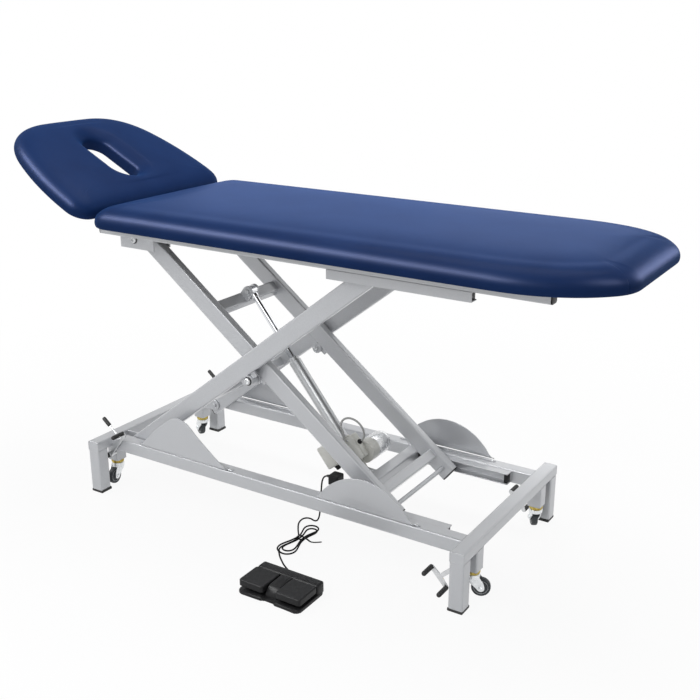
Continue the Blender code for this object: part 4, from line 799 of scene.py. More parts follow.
def pad_half(pad, inset):
    """Half of a pad's plan moved in by inset, from the middle of its start edge to that of its far end."""
    start, end, half, taper, bulge, end_half, corner, end_corner = pad
    bend = Vector((taper + bulge * (end - taper), half))
    lean = math.atan2(half - end_half, end - bend.x)
    turn = math.pi / 2 - lean
    a, w = start + inset, half - inset
    r, q = max(corner - inset, 0.006), max(end_corner - inset, 0.010)
    bend -= Vector((math.tan(lean / 2), 1.0)) * inset
    tip = Vector((end, end_half)) - Vector((1.0, math.tan(turn / 2))) * inset
    reach = q * math.tan(turn / 2)
    t = max(taper, a + r + 0.010)
    rim = tip - (tip - bend).normalized() * reach
    last = tip - Vector((0.0, reach))
    straight = SIDE_STEPS[pad]
    line = [Vector((a, (w - r) * (k + 0.5) / START_POINTS)) for k in range(START_POINTS)]
    line += [Vector(p) for p in arc((a + r, w - r), r, 180, 90, CORNER_STEPS)]
    line += [Vector((a + r + (t - a - r) * k / straight, w)) for k in range(1, straight)]
    line += curve_towards(Vector((t, w)), bend, rim, [k / TAPER_POINTS for k in range(TAPER_POINTS)])
    line += curve_towards(rim, tip, last, ROUND_SHARES)
    line += [Vector((last.x, last.y * (END_POINTS - k) / (END_POINTS + 0.5))) for k in range(END_POINTS)]
    return line


def pad_plan(pad, inset):
    half = pad_half(pad, inset)
    return half + [Vector((p.x, -p.y)) for p in reversed(half)]


main_count = len(pad_plan(MAIN_PAD, 0.0))
print("points in a ring of the main pad", main_count)

# %% Quads between rings


def ring_mesh(rows, bridge_first, bridge_last):
    """Quads between rows of equal count; an end row may be bridged to its own mirrored half."""
    shape = bmesh.new()
    spots = [[shape.verts.new(p) for p in row] for row in rows]
    count = len(rows[0])
    for low, high in zip(spots, spots[1:]):
        for k in range(count):
            n = (k + 1) % count
            shape.faces.new((low[k], low[n], high[n], high[k]))
    for row, wanted in ((spots[0], bridge_first), (spots[-1], bridge_last)):
        if wanted:
            for k in range(count // 2 - 1):
                shape.faces.new((row[k], row[k + 1], row[count - 2 - k], row[count - 1 - k]))
    bmesh.ops.recalc_face_normals(shape, faces=shape.faces)
    return shape


print("rings of quads ready")

# %% Cover of the main pad, ring by ring
SIDE_RINGS = ((POCKET_INSET, 0.0), (0.0200, 0.0), (0.0145, 0.006), (0.0095, 0.032), (0.0062, 0.085),
              (0.0046, 0.165), (0.0040, 0.26), (0.0046, 0.37), (0.0066, 0.48), (0.0100, 0.59),
              (0.0150, 0.69), (0.0220, 0.785), (0.0310, 0.865), (0.0420, 0.925), (0.0550, 0.965),
              (0.0700, 0.988), (0.0850, 1.0))
MAIN_CROWN, TOP_ROWS, TOP_SHARE = 0.007, 14, 0.96
spine_from, spine_to = MAIN_PAD[0] + 0.27, MAIN_PAD[1] - 0.24
rows = [[(p.x, p.y, PAD_LOW + POCKET_DEPTH) for p in pad_plan(MAIN_PAD, POCKET_INSET)]]
for inset, up in SIDE_RINGS:
    rows.append([(p.x, p.y, PAD_LOW + PAD_THICK * up) for p in pad_plan(MAIN_PAD, inset)])
rim = pad_plan(MAIN_PAD, SIDE_RINGS[-1][0])
for k in range(1, TOP_ROWS + 1):
    t = k / TOP_ROWS * TOP_SHARE
    crown = PAD_THICK + MAIN_CROWN * (1 - (1 - t) ** 4)
    row = []
    for p in rim:
        spot = p.lerp(Vector((min(max(p.x, spine_from), spine_to), 0.0)), t)
        row.append((spot.x, spot.y, PAD_LOW + crown))
    rows.append(row)
pad_shape = ring_mesh(rows, True, True)
bmesh.ops.transform(pad_shape, matrix=TABLE, verts=pad_shape.verts)
main_cover = show("main_pad_cover", pad_shape, couch_vinyl, "top", 180.0)
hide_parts("main_pad")
both_pads.objects.link(main_cover)
flat_pad.objects.link(main_cover)
print("main cover points", len(main_cover.data.vertices))

# %% Stuffing by a short cloth run
STUFFING_CAP, PRESSURE = 0.0045, 4.0
CLOTH_TICKS, EVEN_TURNS = 20, 14


def stuff(cover, held, level=()):
    """Blows the cover up against its held points; the level points all rise by the same amount."""
    group = cover.vertex_groups.new(name="stapled")
    group.add(list(held), 1.0, "REPLACE")
    before = [v.co.copy() for v in cover.data.vertices]
    cloth = cover.modifiers.new("stuffing", "CLOTH")
    cloth.settings.quality = 4
    cloth.settings.mass = 0.4
    cloth.settings.tension_stiffness = 30.0
    cloth.settings.compression_stiffness = 30.0
    cloth.settings.bending_stiffness = 2.0
    cloth.settings.vertex_group_mass = "stapled"
    cloth.settings.use_pressure = True
    cloth.settings.uniform_pressure_force = PRESSURE
    cloth.settings.effector_weights.gravity = 0.0
    cloth.collision_settings.use_collision = False
    for tick in range(1, CLOTH_TICKS + 1):
        scene.frame_set(tick)
    ready = cover.evaluated_get(bpy.context.evaluated_depsgraph_get())
    after = [v.co.copy() for v in ready.data.vertices]
    cover.modifiers.remove(cloth)
    cover.vertex_groups.remove(group)
    scene.frame_set(1)
    beside = [[] for spot in before]
    for a, b in (e.vertices for e in cover.data.edges):
        beside[a].append(b)
        beside[b].append(a)
    outward = [v.normal.copy() for v in cover.data.vertices]
    swell = [max(0.0, (new - old).dot(n)) for old, new, n in zip(before, after, outward)]
    most, still = max(swell), set(held)
    common = sum(swell[k] for k in level) / max(1, len(level))
    for k in level:
        swell[k] = common
    for turn in range(EVEN_TURNS):
        swell = [0.0 if k in still else (rise + sum(swell[n] for n in beside[k])) / (1 + len(beside[k]))
                 for k, rise in enumerate(swell)]
    for k in level:
        outward[k] = Vector((0.0, 0.0, 1.0))
    for vertex, old, n, rise in zip(cover.data.vertices, before, outward, swell):
        vertex.co = old + n * STUFFING_CAP * math.tanh(rise / STUFFING_CAP)
    cover.data.update()
    return most


print("stuffing kept up to %.1f mm" % (1000 * STUFFING_CAP))

# %% Tucks at the far corners and a finer surface
PLEAT_FROM, PLEAT_TO, PLEAT_DEPTH = 4, 11, 0.0022


def smooth_cover(cover):
    """One step of subdivision, for an even shine."""
    finer = cover.modifiers.new("finer", "SUBSURF")
    finer.levels = finer.render_levels = 1


def pleat(cover, ring_size):
    """Draws in one point of each ring at both far corners: the tuck where the vinyl goes round them."""
    at = ring_size // 2 - END_POINTS - len(ROUND_SHARES) + ROUND_SHARES.index(PLEAT)
    for row in range(PLEAT_FROM, PLEAT_TO):
        share = math.sin(math.pi * (row - PLEAT_FROM + 0.5) / (PLEAT_TO - PLEAT_FROM))
        for spot in (at, ring_size - 1 - at):
            vertex = cover.data.vertices[row * ring_size + spot]
            vertex.co -= vertex.normal * PLEAT_DEPTH * share
    cover.data.update()


print("tucks %.1f mm deep" % (1000 * PLEAT_DEPTH))

# %% Main pad stuffed and tucked
STAPLED_ROWS, LEVEL_FROM = 4, len(SIDE_RINGS) + 6
stapled = range(STAPLED_ROWS * main_count)
middle_rows = range(LEVEL_FROM * main_count, len(main_cover.data.vertices))
swelling = stuff(main_cover, stapled, middle_rows)
print("main pad swelled by %.1f mm before the cap" % (1000 * swelling))
pleat(main_cover, main_count)
smooth_cover(main_cover)
print("main pad", [round(v, 3) for v in main_cover.dimensions])

# %% [markdown]
# ## Head pad
# The head section has the same cover, with a breathing slot through it. The vinyl is drawn down into the
# slot and leaves a shallow dish round its rim. A slot could be cut out of a finished pad, but the cut would
# have a hard edge. So the rings run from the board's pocket round the outside, over the top, down the slot
# and back below: one closed loop of quads with no bridge.

# %% Plan of the head pad and its slot
HEAD_LOW, SLOT_FROM, SLOT_TO, SLOT_HALF = 0.020, 0.135, 0.345, 0.045
SLOT_IN_BOARD = 0.0037
SLOT_MIDDLE = Vector(((SLOT_FROM + SLOT_TO) / 2, 0.0))


def slot_edge(way, grow):
    """Spot on the slot's rounded outline, grown by grow, in the direction way from its middle."""
    reach = (SLOT_TO - SLOT_FROM) / 2 - SLOT_HALF
    r = SLOT_HALF + grow
    way = way.normalized()
    if abs(way.y) > 1e-6:
        x = way.x * r / abs(way.y)
        if abs(x) <= reach:
            return SLOT_MIDDLE + Vector((x, math.copysign(r, way.y)))
    along = math.copysign(reach, way.x)
    b = way.x * along
    t = b + math.sqrt(max(0.0, b * b - reach * reach + r * r))
    return SLOT_MIDDLE + way * t


ways = [p - SLOT_MIDDLE for p in pad_plan(HEAD_PAD, 0.0)]
print("points in a ring of the head pad", len(ways))

# %% Cover of the head pad
HEAD_CROWN, HEAD_RIM, HEAD_ROWS = 0.004, 0.0640, 9
rows = [[(p.x, p.y, HEAD_LOW + POCKET_DEPTH) for p in pad_plan(HEAD_PAD, POCKET_INSET)]]
for inset, up in SIDE_RINGS[:-2]:
    rows.append([(p.x, p.y, HEAD_LOW + PAD_THICK * up) for p in pad_plan(HEAD_PAD, inset)])
rim = pad_plan(HEAD_PAD, HEAD_RIM)
DISH = ((0.0400, 0.0), (0.0350, -0.0010), (0.0300, -0.0027), (0.0252, -0.0051), (0.0205, -0.0078),
        (0.0160, -0.0107), (0.0117, -0.0137), (0.0078, -0.0168), (0.0044, -0.0202), (0.0018, -0.0243),
        (0.0004, -0.0290), (0.0, -0.0340))
lip = [slot_edge(w, DISH[0][0]) for w in ways]
for k in range(HEAD_ROWS):
    t = k / HEAD_ROWS
    top = PAD_THICK * (0.984 + 0.016 * min(1.0, 3 * t)) + HEAD_CROWN * math.sin(math.pi * t / 2)
    rows.append([(*p.lerp(q, t), HEAD_LOW + top) for p, q in zip(rim, lip)])
for grow, drop in DISH:
    rows.append([(*slot_edge(w, grow), HEAD_LOW + PAD_THICK + HEAD_CROWN + drop) for w in ways])
for up in (0.30, 0.15, 0.0):
    rows.append([(*slot_edge(w, 0.0), HEAD_LOW + PAD_THICK * up) for w in ways])
for up in (0.0, POCKET_DEPTH):
    rows.append([(*slot_edge(w, SLOT_IN_BOARD), HEAD_LOW + up) for w in ways])
rows.append(rows[0])
head_shape = ring_mesh(rows, False, False)
bmesh.ops.transform(head_shape, matrix=HEAD, verts=head_shape.verts)
head_cover = show("head_pad_cover", head_shape, couch_vinyl, "head", 180.0)
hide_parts("head_pad")
both_pads.objects.link(head_cover)
print("head cover points", len(head_cover.data.vertices))

# %% Stuffing of the head pad
SLOT_AROUND, HELD_AROUND, HELD_BELOW = 0.130, 0.034, 0.0128
home = HEAD.inverted()
stapled = []
for vertex in head_cover.data.vertices:
    spot = home @ vertex.co
    inside = (Vector((spot.x, spot.y)) - SLOT_MIDDLE).length < SLOT_AROUND
    if spot.z < HEAD_LOW + HELD_BELOW or inside and spot.z < HEAD_LOW + HELD_AROUND:
        stapled.append(vertex.index)
swelling = stuff(head_cover, stapled)
print("head pad swelled by %.1f mm before the cap" % (1000 * swelling))
smooth_cover(head_cover)
print("head pad", [round(v, 3) for v in head_cover.dimensions])

# %% [markdown]
# ## Staples below the pads
# The vinyl is turned under the board and held by a row of staples, which shows from below. They could be a
# pattern in the finish, but a real staple stands proud and catches the light. So they are small rounded
# wires laid along the plan, about two fingers apart.

# %% Staples
STAPLE_SIZE, STAPLE_EDGE, STAPLE_PROUD = (0.0105, 0.0012, 0.0009), 0.0004, 0.0002
STAPLE_INSET, STAPLE_SPACING, STAPLE_SLANT = 0.024, 0.034, 0.35


def staple_row(name, pad, frame_of, low, carrier):
    """Staples along the plan of a pad, each a little askew."""
    line = pad_plan(pad, STAPLE_INSET)
    shape = bmesh.new()
    run, made = 0.0, 0
    for p, q in zip(line, line[1:] + line[:1]):
        run += (q - p).length
        if run < STAPLE_SPACING:
            continue
        run = 0.0
        turn = math.atan2(q.y - p.y, q.x - p.x) + STAPLE_SLANT
        spot = frame_of @ shift(p.x, p.y, low - STAPLE_PROUD) @ Matrix.Rotation(turn, 4, "Z")
        soft_block(shape, STAPLE_SIZE, spot, STAPLE_EDGE, 1)
        made += 1
    print(name, made)
    return show(name, shape, bright_zinc, carrier)


staple_row("main_pad_staples", MAIN_PAD, TABLE, PAD_LOW, "top")
staple_row("head_pad_staples", HEAD_PAD, HEAD, HEAD_LOW, "head")

# %% [markdown]
# ## Black plugs in the tube ends
# Every sawn tube end is closed with a ribbed plastic plug. Only its face shows: a thin plate with rounded
# corners and a soft edge, as wide as the tube. A plain box would do for size, but not for the pale line of
# light round the face. The roller channels are stopped with soft blocks of the same black plastic.

# %% Plugs
FACE_GAP, FACE_THICK = 0.0006, 0.0030
RIB_GAP, RIB_THICK = 0.0046, 0.0022
TOP_TUBE, TOP_TUBE_Y, TOP_TUBE_Z = (0.030, 0.0332), 0.218, 0.81810
ARM_TUBE, ARM_END = (0.025, 0.052), 0.024
OUTER_Y, INNER_Y, INNER_UP = 0.185, 0.1525, 0.040


def tube_plug(name, size, place, carrier):
    """Face of a plug, its z axis pointing out of the tube, with two ribs inside the bore."""
    width, height = size
    shape = bmesh.new()
    cut_plate(shape, rounded_rectangle(width - FACE_GAP, height - FACE_GAP, 0.0038), FACE_THICK,
              place @ shift(0, 0, 0.0002), 0.0009)
    for step in (0.0025, 0.0065):
        cut_plate(shape, rounded_rectangle(width - RIB_GAP, height - RIB_GAP, 0.0016), RIB_THICK,
                  place @ shift(0, 0, -step - RIB_THICK))
    return show(name, shape, moulded_black, carrier)


turn_x = {"foot": FACING["x"] @ Matrix.Rotation(math.pi / 2, 4, "Z"),
          "head": FACING["-x"] @ Matrix.Rotation(math.pi / 2, 4, "Z")}
for word, side in SIDES.items():
    for end, x in (("head", -0.580), ("foot", 0.784)):
        tube_plug("tube_plug_%s_%s" % (word, end), TOP_TUBE,
                  place_at(x, side * TOP_TUBE_Y, TOP_TUBE_Z) @ turn_x[end], "top")
    for end, x in (("low", -ARM_END), ("high", ARM_LENGTH + ARM_END)):
        turn = turn_x["head" if end == "low" else "foot"]
        tube_plug("outer_arm_plug_%s_%s" % (word, end), ARM_TUBE,
                  OUTER @ shift(x, side * OUTER_Y, 0.0) @ turn, "outer_arms")
    for end, x in (("high", -ARM_LENGTH / 2 - ARM_END), ("low", ARM_LENGTH / 2 + ARM_END)):
        turn = turn_x["head" if end == "high" else "foot"]
        tube_plug("inner_arm_plug_%s_%s" % (word, end), ARM_TUBE,
                  INNER @ shift(x, side * INNER_Y, INNER_UP) @ turn, "inner_arms")

# %% Stops in the ends of the roller channels
BASE_STOP, BASE_STOP_Y, BASE_STOP_Z = (0.010, 0.0210, 0.0272), 0.1858, 0.147
SLIDE_STOP, SLIDE_STOP_Y, SLIDE_Z = (0.010, 0.0225, 0.0192), 0.2182, 0.790


def channel_stop(name, size, place, carrier):
    shape = bmesh.new()
    soft_block(shape, size, place, 0.0015, 2)
    return show(name, shape, moulded_black, carrier)


for word, side in SIDES.items():
    for end, x in (("head", 0.2525), ("foot", 0.5285)):
        channel_stop("base_channel_stop_%s_%s" % (word, end), BASE_STOP,
                     place_at(x, side * BASE_STOP_Y, BASE_STOP_Z), "base")
    for end, x in (("head", 0.2025), ("foot", 0.5865)):
        channel_stop("slide_stop_%s_%s" % (word, end), SLIDE_STOP,
                     place_at(x, side * SLIDE_STOP_Y, SLIDE_Z), "top")

# %% [markdown]
# ## Guard plates
# Four guards keep fingers from the arm ends. Each is a pressed plate with a smooth domed edge and a strip
# along the rail, held by three screws. The dome could be one arc, but the real one leans to one side and
# runs out flat, so it is a smooth line through a few drawn points.

# %% Guards
GUARD_Z, GUARD_OUT, GUARD_THICK, GUARD_LOW = 0.1668, 0.240, 0.003, 0.0026
STRIP_IN, STRIP_PAST, STRIP_WIDE, STRIP_THICK = 0.0095, 0.018, 0.0104, 0.0020
HEAD_GUARD_X, FOOT_GUARD_X = BASE_PIVOT[0], 0.345982
HEAD_DOME = ((0.389, 0.0), (0.367, 0.010), (0.286, 0.071), (0.247, 0.106), (0.230, 0.116), (0.209, 0.120),
             (0.189, 0.117), (0.169, 0.107), (0.115, 0.064), (0.050, 0.0))
FOOT_DOME = ((0.119, 0.0), (0.110, 0.005), (0.100, 0.013), (0.086, 0.032), (0.059, 0.057), (0.024, 0.077),
             (-0.016, 0.088), (-0.058, 0.088), (-0.099, 0.076), (-0.134, 0.055), (-0.161, 0.030),
             (-0.181, 0.0))


def pan_screw(shape, place, radius=0.0042):
    """Pan-head screw, its head up z."""
    turned(shape, [(0.0, 0.0), (radius, 0.0), (radius, 0.0008), (radius * 0.86, 0.0019),
                   (radius * 0.55, 0.0025), (0.0, 0.0026)], place, 20)


for end, dome, origin in (("head", HEAD_DOME, HEAD_GUARD_X), ("foot", FOOT_DOME, FOOT_GUARD_X)):
    for word, side in SIDES.items():
        edge = [(origin + p.x, max(p.y, GUARD_LOW)) for p in flowing(dome, 6)]
        shape = bmesh.new()
        face = GUARD_OUT if side > 0 else -GUARD_OUT + GUARD_THICK
        cut_plate(shape, edge, GUARD_THICK, place_at(0, face, GUARD_Z) @ FACING["-y"], 0.0007)
        low, high = min(p[0] for p in edge), max(p[0] for p in edge)
        inside = side * (GUARD_OUT - GUARD_THICK - STRIP_IN)
        strip = rounded_rectangle(high - low + STRIP_PAST, STRIP_WIDE, 0.005)
        cut_plate(shape, strip, STRIP_THICK, place_at((low + high) / 2, inside, GUARD_Z), 0.0005)
        guard = show("guard_plate_%s_%s" % (word, end), shape, powder_coat, "base", 30.0)
        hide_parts("guard_%s_%s" % (word, end))
        screws = bmesh.new()
        for x in (low + 0.004, (low + high) / 2, high - 0.002):
            pan_screw(screws, place_at(x, inside, GUARD_Z + STRIP_THICK))
        show("guard_screws_%s_%s" % (word, end), screws, bright_zinc, "base")

# %% [markdown]
# ## Pivot bolts
# The arms turn on shoulder bolts. Each has a domed head with a round recess, and a black washer keeps the
# paint from rubbing. A dark disc could stand for the recess, but it would shine like the rest, so it is a
# real hole in the turned head.

# %% Bolts
SCISSOR_FACE, SCISSOR_UP = 0.1978, -0.040
LIFT_X, LIFT_FACE = -0.477775, 0.2043


def socket_bolt(shape, place, head_radius, head_height, shank_radius, shank_length):
    """Domed bolt: the head stands up z from the seat at zero, the shank goes down."""
    recess, top = head_radius * 0.52, head_height
    turned(shape, [(0.0, top * 0.45), (recess * 0.90, top * 0.45), (recess, top * 0.96),
                   (recess * 1.12, top), (head_radius * 0.74, top * 0.93), (head_radius * 0.93, top * 0.68),
                   (head_radius, top * 0.32), (head_radius, 0.0), (shank_radius, 0.0),
                   (shank_radius, -shank_length + 0.001), (shank_radius - 0.001, -shank_length),
                   (0.0, -shank_length)], place, 36)


def washer(name, place, inner, outer, thick, carrier):
    """Flat ring with a small edge break."""
    shape, edge = bmesh.new(), 0.0004
    turned(shape, [(inner, 0.0), (outer - edge, 0.0), (outer, edge), (outer, thick - edge),
                   (outer - edge, thick), (inner, thick), (inner, 0.0)], place, 36)
    return show(name, shape, moulded_black, carrier)


for word, side in SIDES.items():
    facing = FACING["y" if side > 0 else "-y"]
    middle = OUTER @ shift(ARM_LENGTH / 2, side * SCISSOR_FACE, SCISSOR_UP) @ facing
    bolt = bmesh.new()
    socket_bolt(bolt, middle @ shift(0, 0, 0.0016), 0.0098, 0.0062, 0.006, 0.066)
    made = show("scissor_bolt_%s_head" % word, bolt, bright_zinc, "outer_arms")
    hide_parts("scissor_bolt_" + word)
    washer("scissor_washer_" + word, middle, 0.0062, 0.0125, 0.0015, "outer_arms")
    lift = place_at(LIFT_X, side * LIFT_FACE, SLIDE_Z) @ facing
    bolt = bmesh.new()
    socket_bolt(bolt, lift @ shift(0, 0, 0.0012), 0.0092, 0.0055, 0.007, 0.074)
    made = show("lift_bolt_%s_head" % word, bolt, bright_zinc, "top")
    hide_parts("lift_bolt_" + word)
    washer("lift_washer_" + word, lift, 0.0072, 0.0115, 0.0011, "top")

# %% [markdown]
# ## Lifter
# The lifting column is a polished rod in a drawn aluminium tube, with a gearbox, a round motor and a control
# box at its foot. The round ones are turned from a profile. The gearbox and the box could be single blocks,
# but they are two-part mouldings, so each is drawn as two soft blocks with a thin joint between them and
# screws at the corners.

# %% Rod and tube
EYE_HALF, TUBE_FROM = 0.0122, 0.232
rod_shape = bmesh.new()
along = LIFTER @ FACING["x"]
turned(rod_shape, [(0.0, 0.0135), (0.0105, 0.0135), (0.0112, 0.0145), (0.0112, 0.0235), (0.0090, 0.0250),
                   (0.0090, 0.320), (0.0080, 0.321), (0.0, 0.321)], along, 48)
turned(rod_shape, [(0.0063, -EYE_HALF), (0.0140, -EYE_HALF), (0.0150, -EYE_HALF + 0.001),
                   (0.0150, EYE_HALF - 0.001), (0.0140, EYE_HALF), (0.0063, EYE_HALF),
                   (0.0063, -EYE_HALF)], LIFTER @ FACING["y"], 40)
lift_rod = show("lift_rod", rod_shape, polished_rod, "rod")
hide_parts("actuator_rod")
tube_shape = bmesh.new()
tube_end = GEAR_BEGIN - 0.0003
turned(tube_shape, [(0.0096, TUBE_FROM + 0.002), (0.0100, TUBE_FROM), (0.0140, TUBE_FROM),
                    (0.0152, TUBE_FROM + 0.001), (0.0152, TUBE_FROM + 0.009), (0.0172, TUBE_FROM + 0.0105),
                    (0.0180, TUBE_FROM + 0.0115), (0.0180, TUBE_FROM + 0.0265), (0.0175, TUBE_FROM + 0.0270),
                    (0.0175, TUBE_FROM + 0.0282), (0.0180, TUBE_FROM + 0.0287), (0.0180, tube_end - 0.010),
                    (0.0186, tube_end - 0.009), (0.0186, tube_end), (0.0096, tube_end),
                    (0.0096, TUBE_FROM + 0.002)], along, 56)
lift_tube = show("lift_tube", tube_shape, drawn_aluminium, "actuator")
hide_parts("actuator_tube")
print("rod and tube done")

# %% Gearbox with its tail fork
GEAR_LENGTH, GEAR_HALF, GEAR_HEIGHT, GEAR_Z = 0.075, 0.0235, 0.070, 0.004
CHEEK_RADIUS, CHEEK_TAIL = 0.015, -0.034
gear = bmesh.new()
gear_x = GEAR_BEGIN + GEAR_LENGTH / 2
for side in (-1, 1):
    soft_block(gear, (GEAR_LENGTH, GEAR_HALF - 0.0005, GEAR_HEIGHT),
               LIFTER @ shift(gear_x, side * (GEAR_HALF / 2 + 0.00025), GEAR_Z), 0.0055)
soft_block(gear, (GEAR_LENGTH - 0.010, 2 * GEAR_HALF - 0.004, GEAR_HEIGHT - 0.010),
           LIFTER @ shift(gear_x, 0, GEAR_Z), 0.004)
turned(gear, [(0.0188, -0.004), (0.0225, -0.004), (0.0225, 0.006), (0.0188, 0.006), (0.0188, -0.004)],
       along @ shift(0, 0, GEAR_BEGIN), 40)
for side in (-1, 1):
    cheek = arc((0.0, 0.0), CHEEK_RADIUS, -90, 90, 16)
    cheek += [(CHEEK_TAIL, CHEEK_RADIUS), (CHEEK_TAIL, -CHEEK_RADIUS)]
    seat = LIFTER @ shift(REACH, 0.0095 * side + 0.003, 0) @ FACING["-y"]
    cut_plate(gear, cheek, 0.006, seat, 0.0008)
gear_shell = show("gear_shell", gear, pale_shell, "actuator")
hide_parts("gear_housing")
screws = bmesh.new()
for x in (GEAR_BEGIN + 0.009, GEAR_BEGIN + GEAR_LENGTH - 0.009):
    for z in (-0.0220, 0.0300):
        pan_screw(screws, LIFTER @ shift(x, -GEAR_HALF, z) @ FACING["-y"], 0.0034)
        pan_screw(screws, LIFTER @ shift(x, GEAR_HALF, z) @ FACING["y"], 0.0034)
show("gear_screws", screws, bright_zinc, "actuator")
print("gearbox done")

# %% Motor and its end cap
motor_place = LIFTER @ shift(MOTOR_AT.x, 0, MOTOR_AT.z) @ FACING["y"]
wide = MOTOR_RADIUS
can = bmesh.new()
turned(can, [(0.0, 0.0238), (wide, 0.0238), (wide, 0.0290), (wide - 0.0010, 0.0296),
             (wide - 0.0010, 0.0310), (wide, 0.0316), (wide, 0.0600), (wide - 0.0006, 0.0606),
             (0.0, 0.0606)], motor_place, 56)
motor_can = show("motor_can", can, pale_shell, "actuator")
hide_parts("motor")
cap = bmesh.new()
turned(cap, [(0.0, 0.0610), (wide - 0.0004, 0.0610), (wide, 0.0616), (wide, 0.1130),
             (wide - 0.0008, 0.1200), (wide - 0.0034, 0.1270), (wide - 0.0078, 0.1325),
             (wide - 0.0140, 0.1366), (wide - 0.0185, 0.1382), (wide - 0.0190, 0.1390), (0.0090, 0.1398),
             (0.0086, 0.1390), (0.0, 0.1390)], motor_place, 56)
show("motor_cap", cap, cast_silver, "actuator")
print("motor done")

# %% Control box
BOX_IN, BOX_OUT, BOX_HEIGHT, BOX_Z, LID = -0.0238, -0.074, 0.056, -0.017, 0.016
LID_GAP, BOX_EDGE, SCREW_IN = 0.0008, 0.0050, 0.008
box_x, box_y = (BOX_BEGIN + BOX_END) / 2, (BOX_IN + BOX_OUT) / 2
box_length, box_width = BOX_END - BOX_BEGIN, BOX_IN - BOX_OUT
shell = bmesh.new()
soft_block(shell, (box_length, box_width, BOX_HEIGHT - LID - LID_GAP),
           LIFTER @ shift(box_x, box_y, BOX_Z - (LID + LID_GAP) / 2), BOX_EDGE)
soft_block(shell, (box_length, box_width, LID),
           LIFTER @ shift(box_x, box_y, BOX_Z + (BOX_HEIGHT - LID) / 2), BOX_EDGE)
soft_block(shell, (box_length - 0.006, box_width - 0.006, 0.020),
           LIFTER @ shift(box_x, box_y, BOX_Z + 0.012), 0.004)
box_shell = show("control_shell", shell, pale_shell, "actuator")
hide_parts("control_box")
screws = bmesh.new()
for x in (BOX_BEGIN + SCREW_IN, BOX_END - SCREW_IN):
    for y in (BOX_IN - SCREW_IN, BOX_OUT + SCREW_IN):
        pan_screw(screws, LIFTER @ shift(x, y, BOX_TOP), 0.0030)
show("control_screws", screws, bright_zinc, "actuator")
glands = bmesh.new()
gland = [(0.0, 0.0), (0.0085, 0.0), (0.0085, 0.0035), (0.0070, 0.0040), (0.0070, 0.0100), (0.0062, 0.0120),
         (0.0040, 0.0130), (0.0, 0.0130)]
for y in (-0.038, -0.060):
    turned(glands, gland, LIFTER @ shift(BOX_END, y, -0.020) @ FACING["x"], 24)
turned(glands, gland, LIFTER @ shift(cable_to.x + 0.002, cable_to.y, cable_to.z) @ FACING["-x"], 24)
grommet = [(0.0, -0.001), (0.0075, -0.001), (0.0075, 0.0022), (0.0055, 0.0034), (0.0046, 0.0080),
           (0.0036, 0.0090), (0.0, 0.0090)]
turned(glands, grommet, LIFTER @ Matrix.Translation(cable_from), 24)
lead_glands = show("control_glands", glands, moulded_black, "actuator")
print("control box done")

# %% [markdown]
# ## Castors
# Each castor has a plated ring on its stem, a pressed fork, and a wheel with a rubber tread on a grey core.
# The fork is a turned cup with two cheeks cut from plate, and a hexagon bolt goes through the wheel. The
# four could be copies of one mesh, but their pieces ride on bodies of their own. So one drawing is made four
# times, each turned to its own heading.

# %% Castor drawing
CASTORS = (("near_foot", 1, -1, 24.0, -42.7), ("far_foot", 1, 1, 122.0, -42.7),
           ("near_head", -1, -1, -82.0, 50.0), ("far_head", -1, 1, 150.0, 50.0))
CASTOR_X, CASTOR_Y, TRAIL, AXLE_Z = 0.614, 0.204, 0.022, 0.028
STEM = [(0.0, 0.123), (0.0125, 0.123), (0.0135, 0.122), (0.0135, 0.0777), (0.0172, 0.0775), (0.0190, 0.0766),
        (0.0195, 0.0752), (0.0195, 0.0738), (0.0184, 0.0732), (0.0184, 0.0726), (0.0195, 0.0720),
        (0.0195, 0.0702), (0.0188, 0.0688), (0.0170, 0.0680), (0.0, 0.0680)]
CUP = [(0.0, 0.0672), (0.0165, 0.0672), (0.0184, 0.0664), (0.0192, 0.0648), (0.0192, 0.0560),
       (0.0186, 0.0556), (0.0172, 0.0560), (0.0172, 0.0630), (0.0, 0.0632)]
TYRE = [(0.0192, -0.0070), (0.0204, -0.0082), (0.0222, -0.0084), (0.0238, -0.0074), (0.0247, -0.0052),
        (0.0250, -0.0022), (0.0250, 0.0022), (0.0247, 0.0052), (0.0238, 0.0074), (0.0222, 0.0084),
        (0.0204, 0.0082), (0.0192, 0.0070), (0.0192, -0.0070)]
WEB = [(0.0044, -0.0090), (0.0080, -0.0090), (0.0090, -0.0084), (0.0094, -0.0066), (0.0120, -0.0058),
       (0.0169, -0.0058), (0.0169, 0.0058), (0.0120, 0.0058), (0.0094, 0.0066), (0.0090, 0.0084),
       (0.0080, 0.0090), (0.0044, 0.0090), (0.0044, -0.0090)]
CORE = [(0.0171, -0.0066), (0.0175, -0.0074), (0.0187, -0.0078), (0.0191, -0.0072), (0.0191, 0.0072),
        (0.0187, 0.0078), (0.0175, 0.0074), (0.0171, 0.0066), (0.0171, -0.0066)]
AXLE_PIN = [(0.0, -0.0150), (0.0040, -0.0150), (0.0040, 0.0150), (0.0, 0.0150)]
AXLE_NUT = [(0.0, 0.0130), (0.0070, 0.0130), (0.0070, 0.0136), (0.0058, 0.0137), (0.0058, 0.0163),
            (0.0050, 0.0168), (0.0, 0.0168)]
CHEEK_IN, CHEEK_THICK = 0.0108, 0.0022
cheek_line = [(-0.0150, 0.0640), (-0.0146, 0.0560), (-0.0110, 0.0470), (0.0020, 0.0352)]
cheek_line = [(p.x, p.y) for p in flowing(cheek_line, 6)] + arc((TRAIL, AXLE_Z), 0.0092, 215, 385, 14)
cheek_back = [(0.0300, 0.0372), (0.0262, 0.0462), (0.0190, 0.0560), (0.0166, 0.0640)]
cheek_line += [(p.x, p.y) for p in flowing(cheek_back, 6)]
print("castors", [c[0] for c in CASTORS])

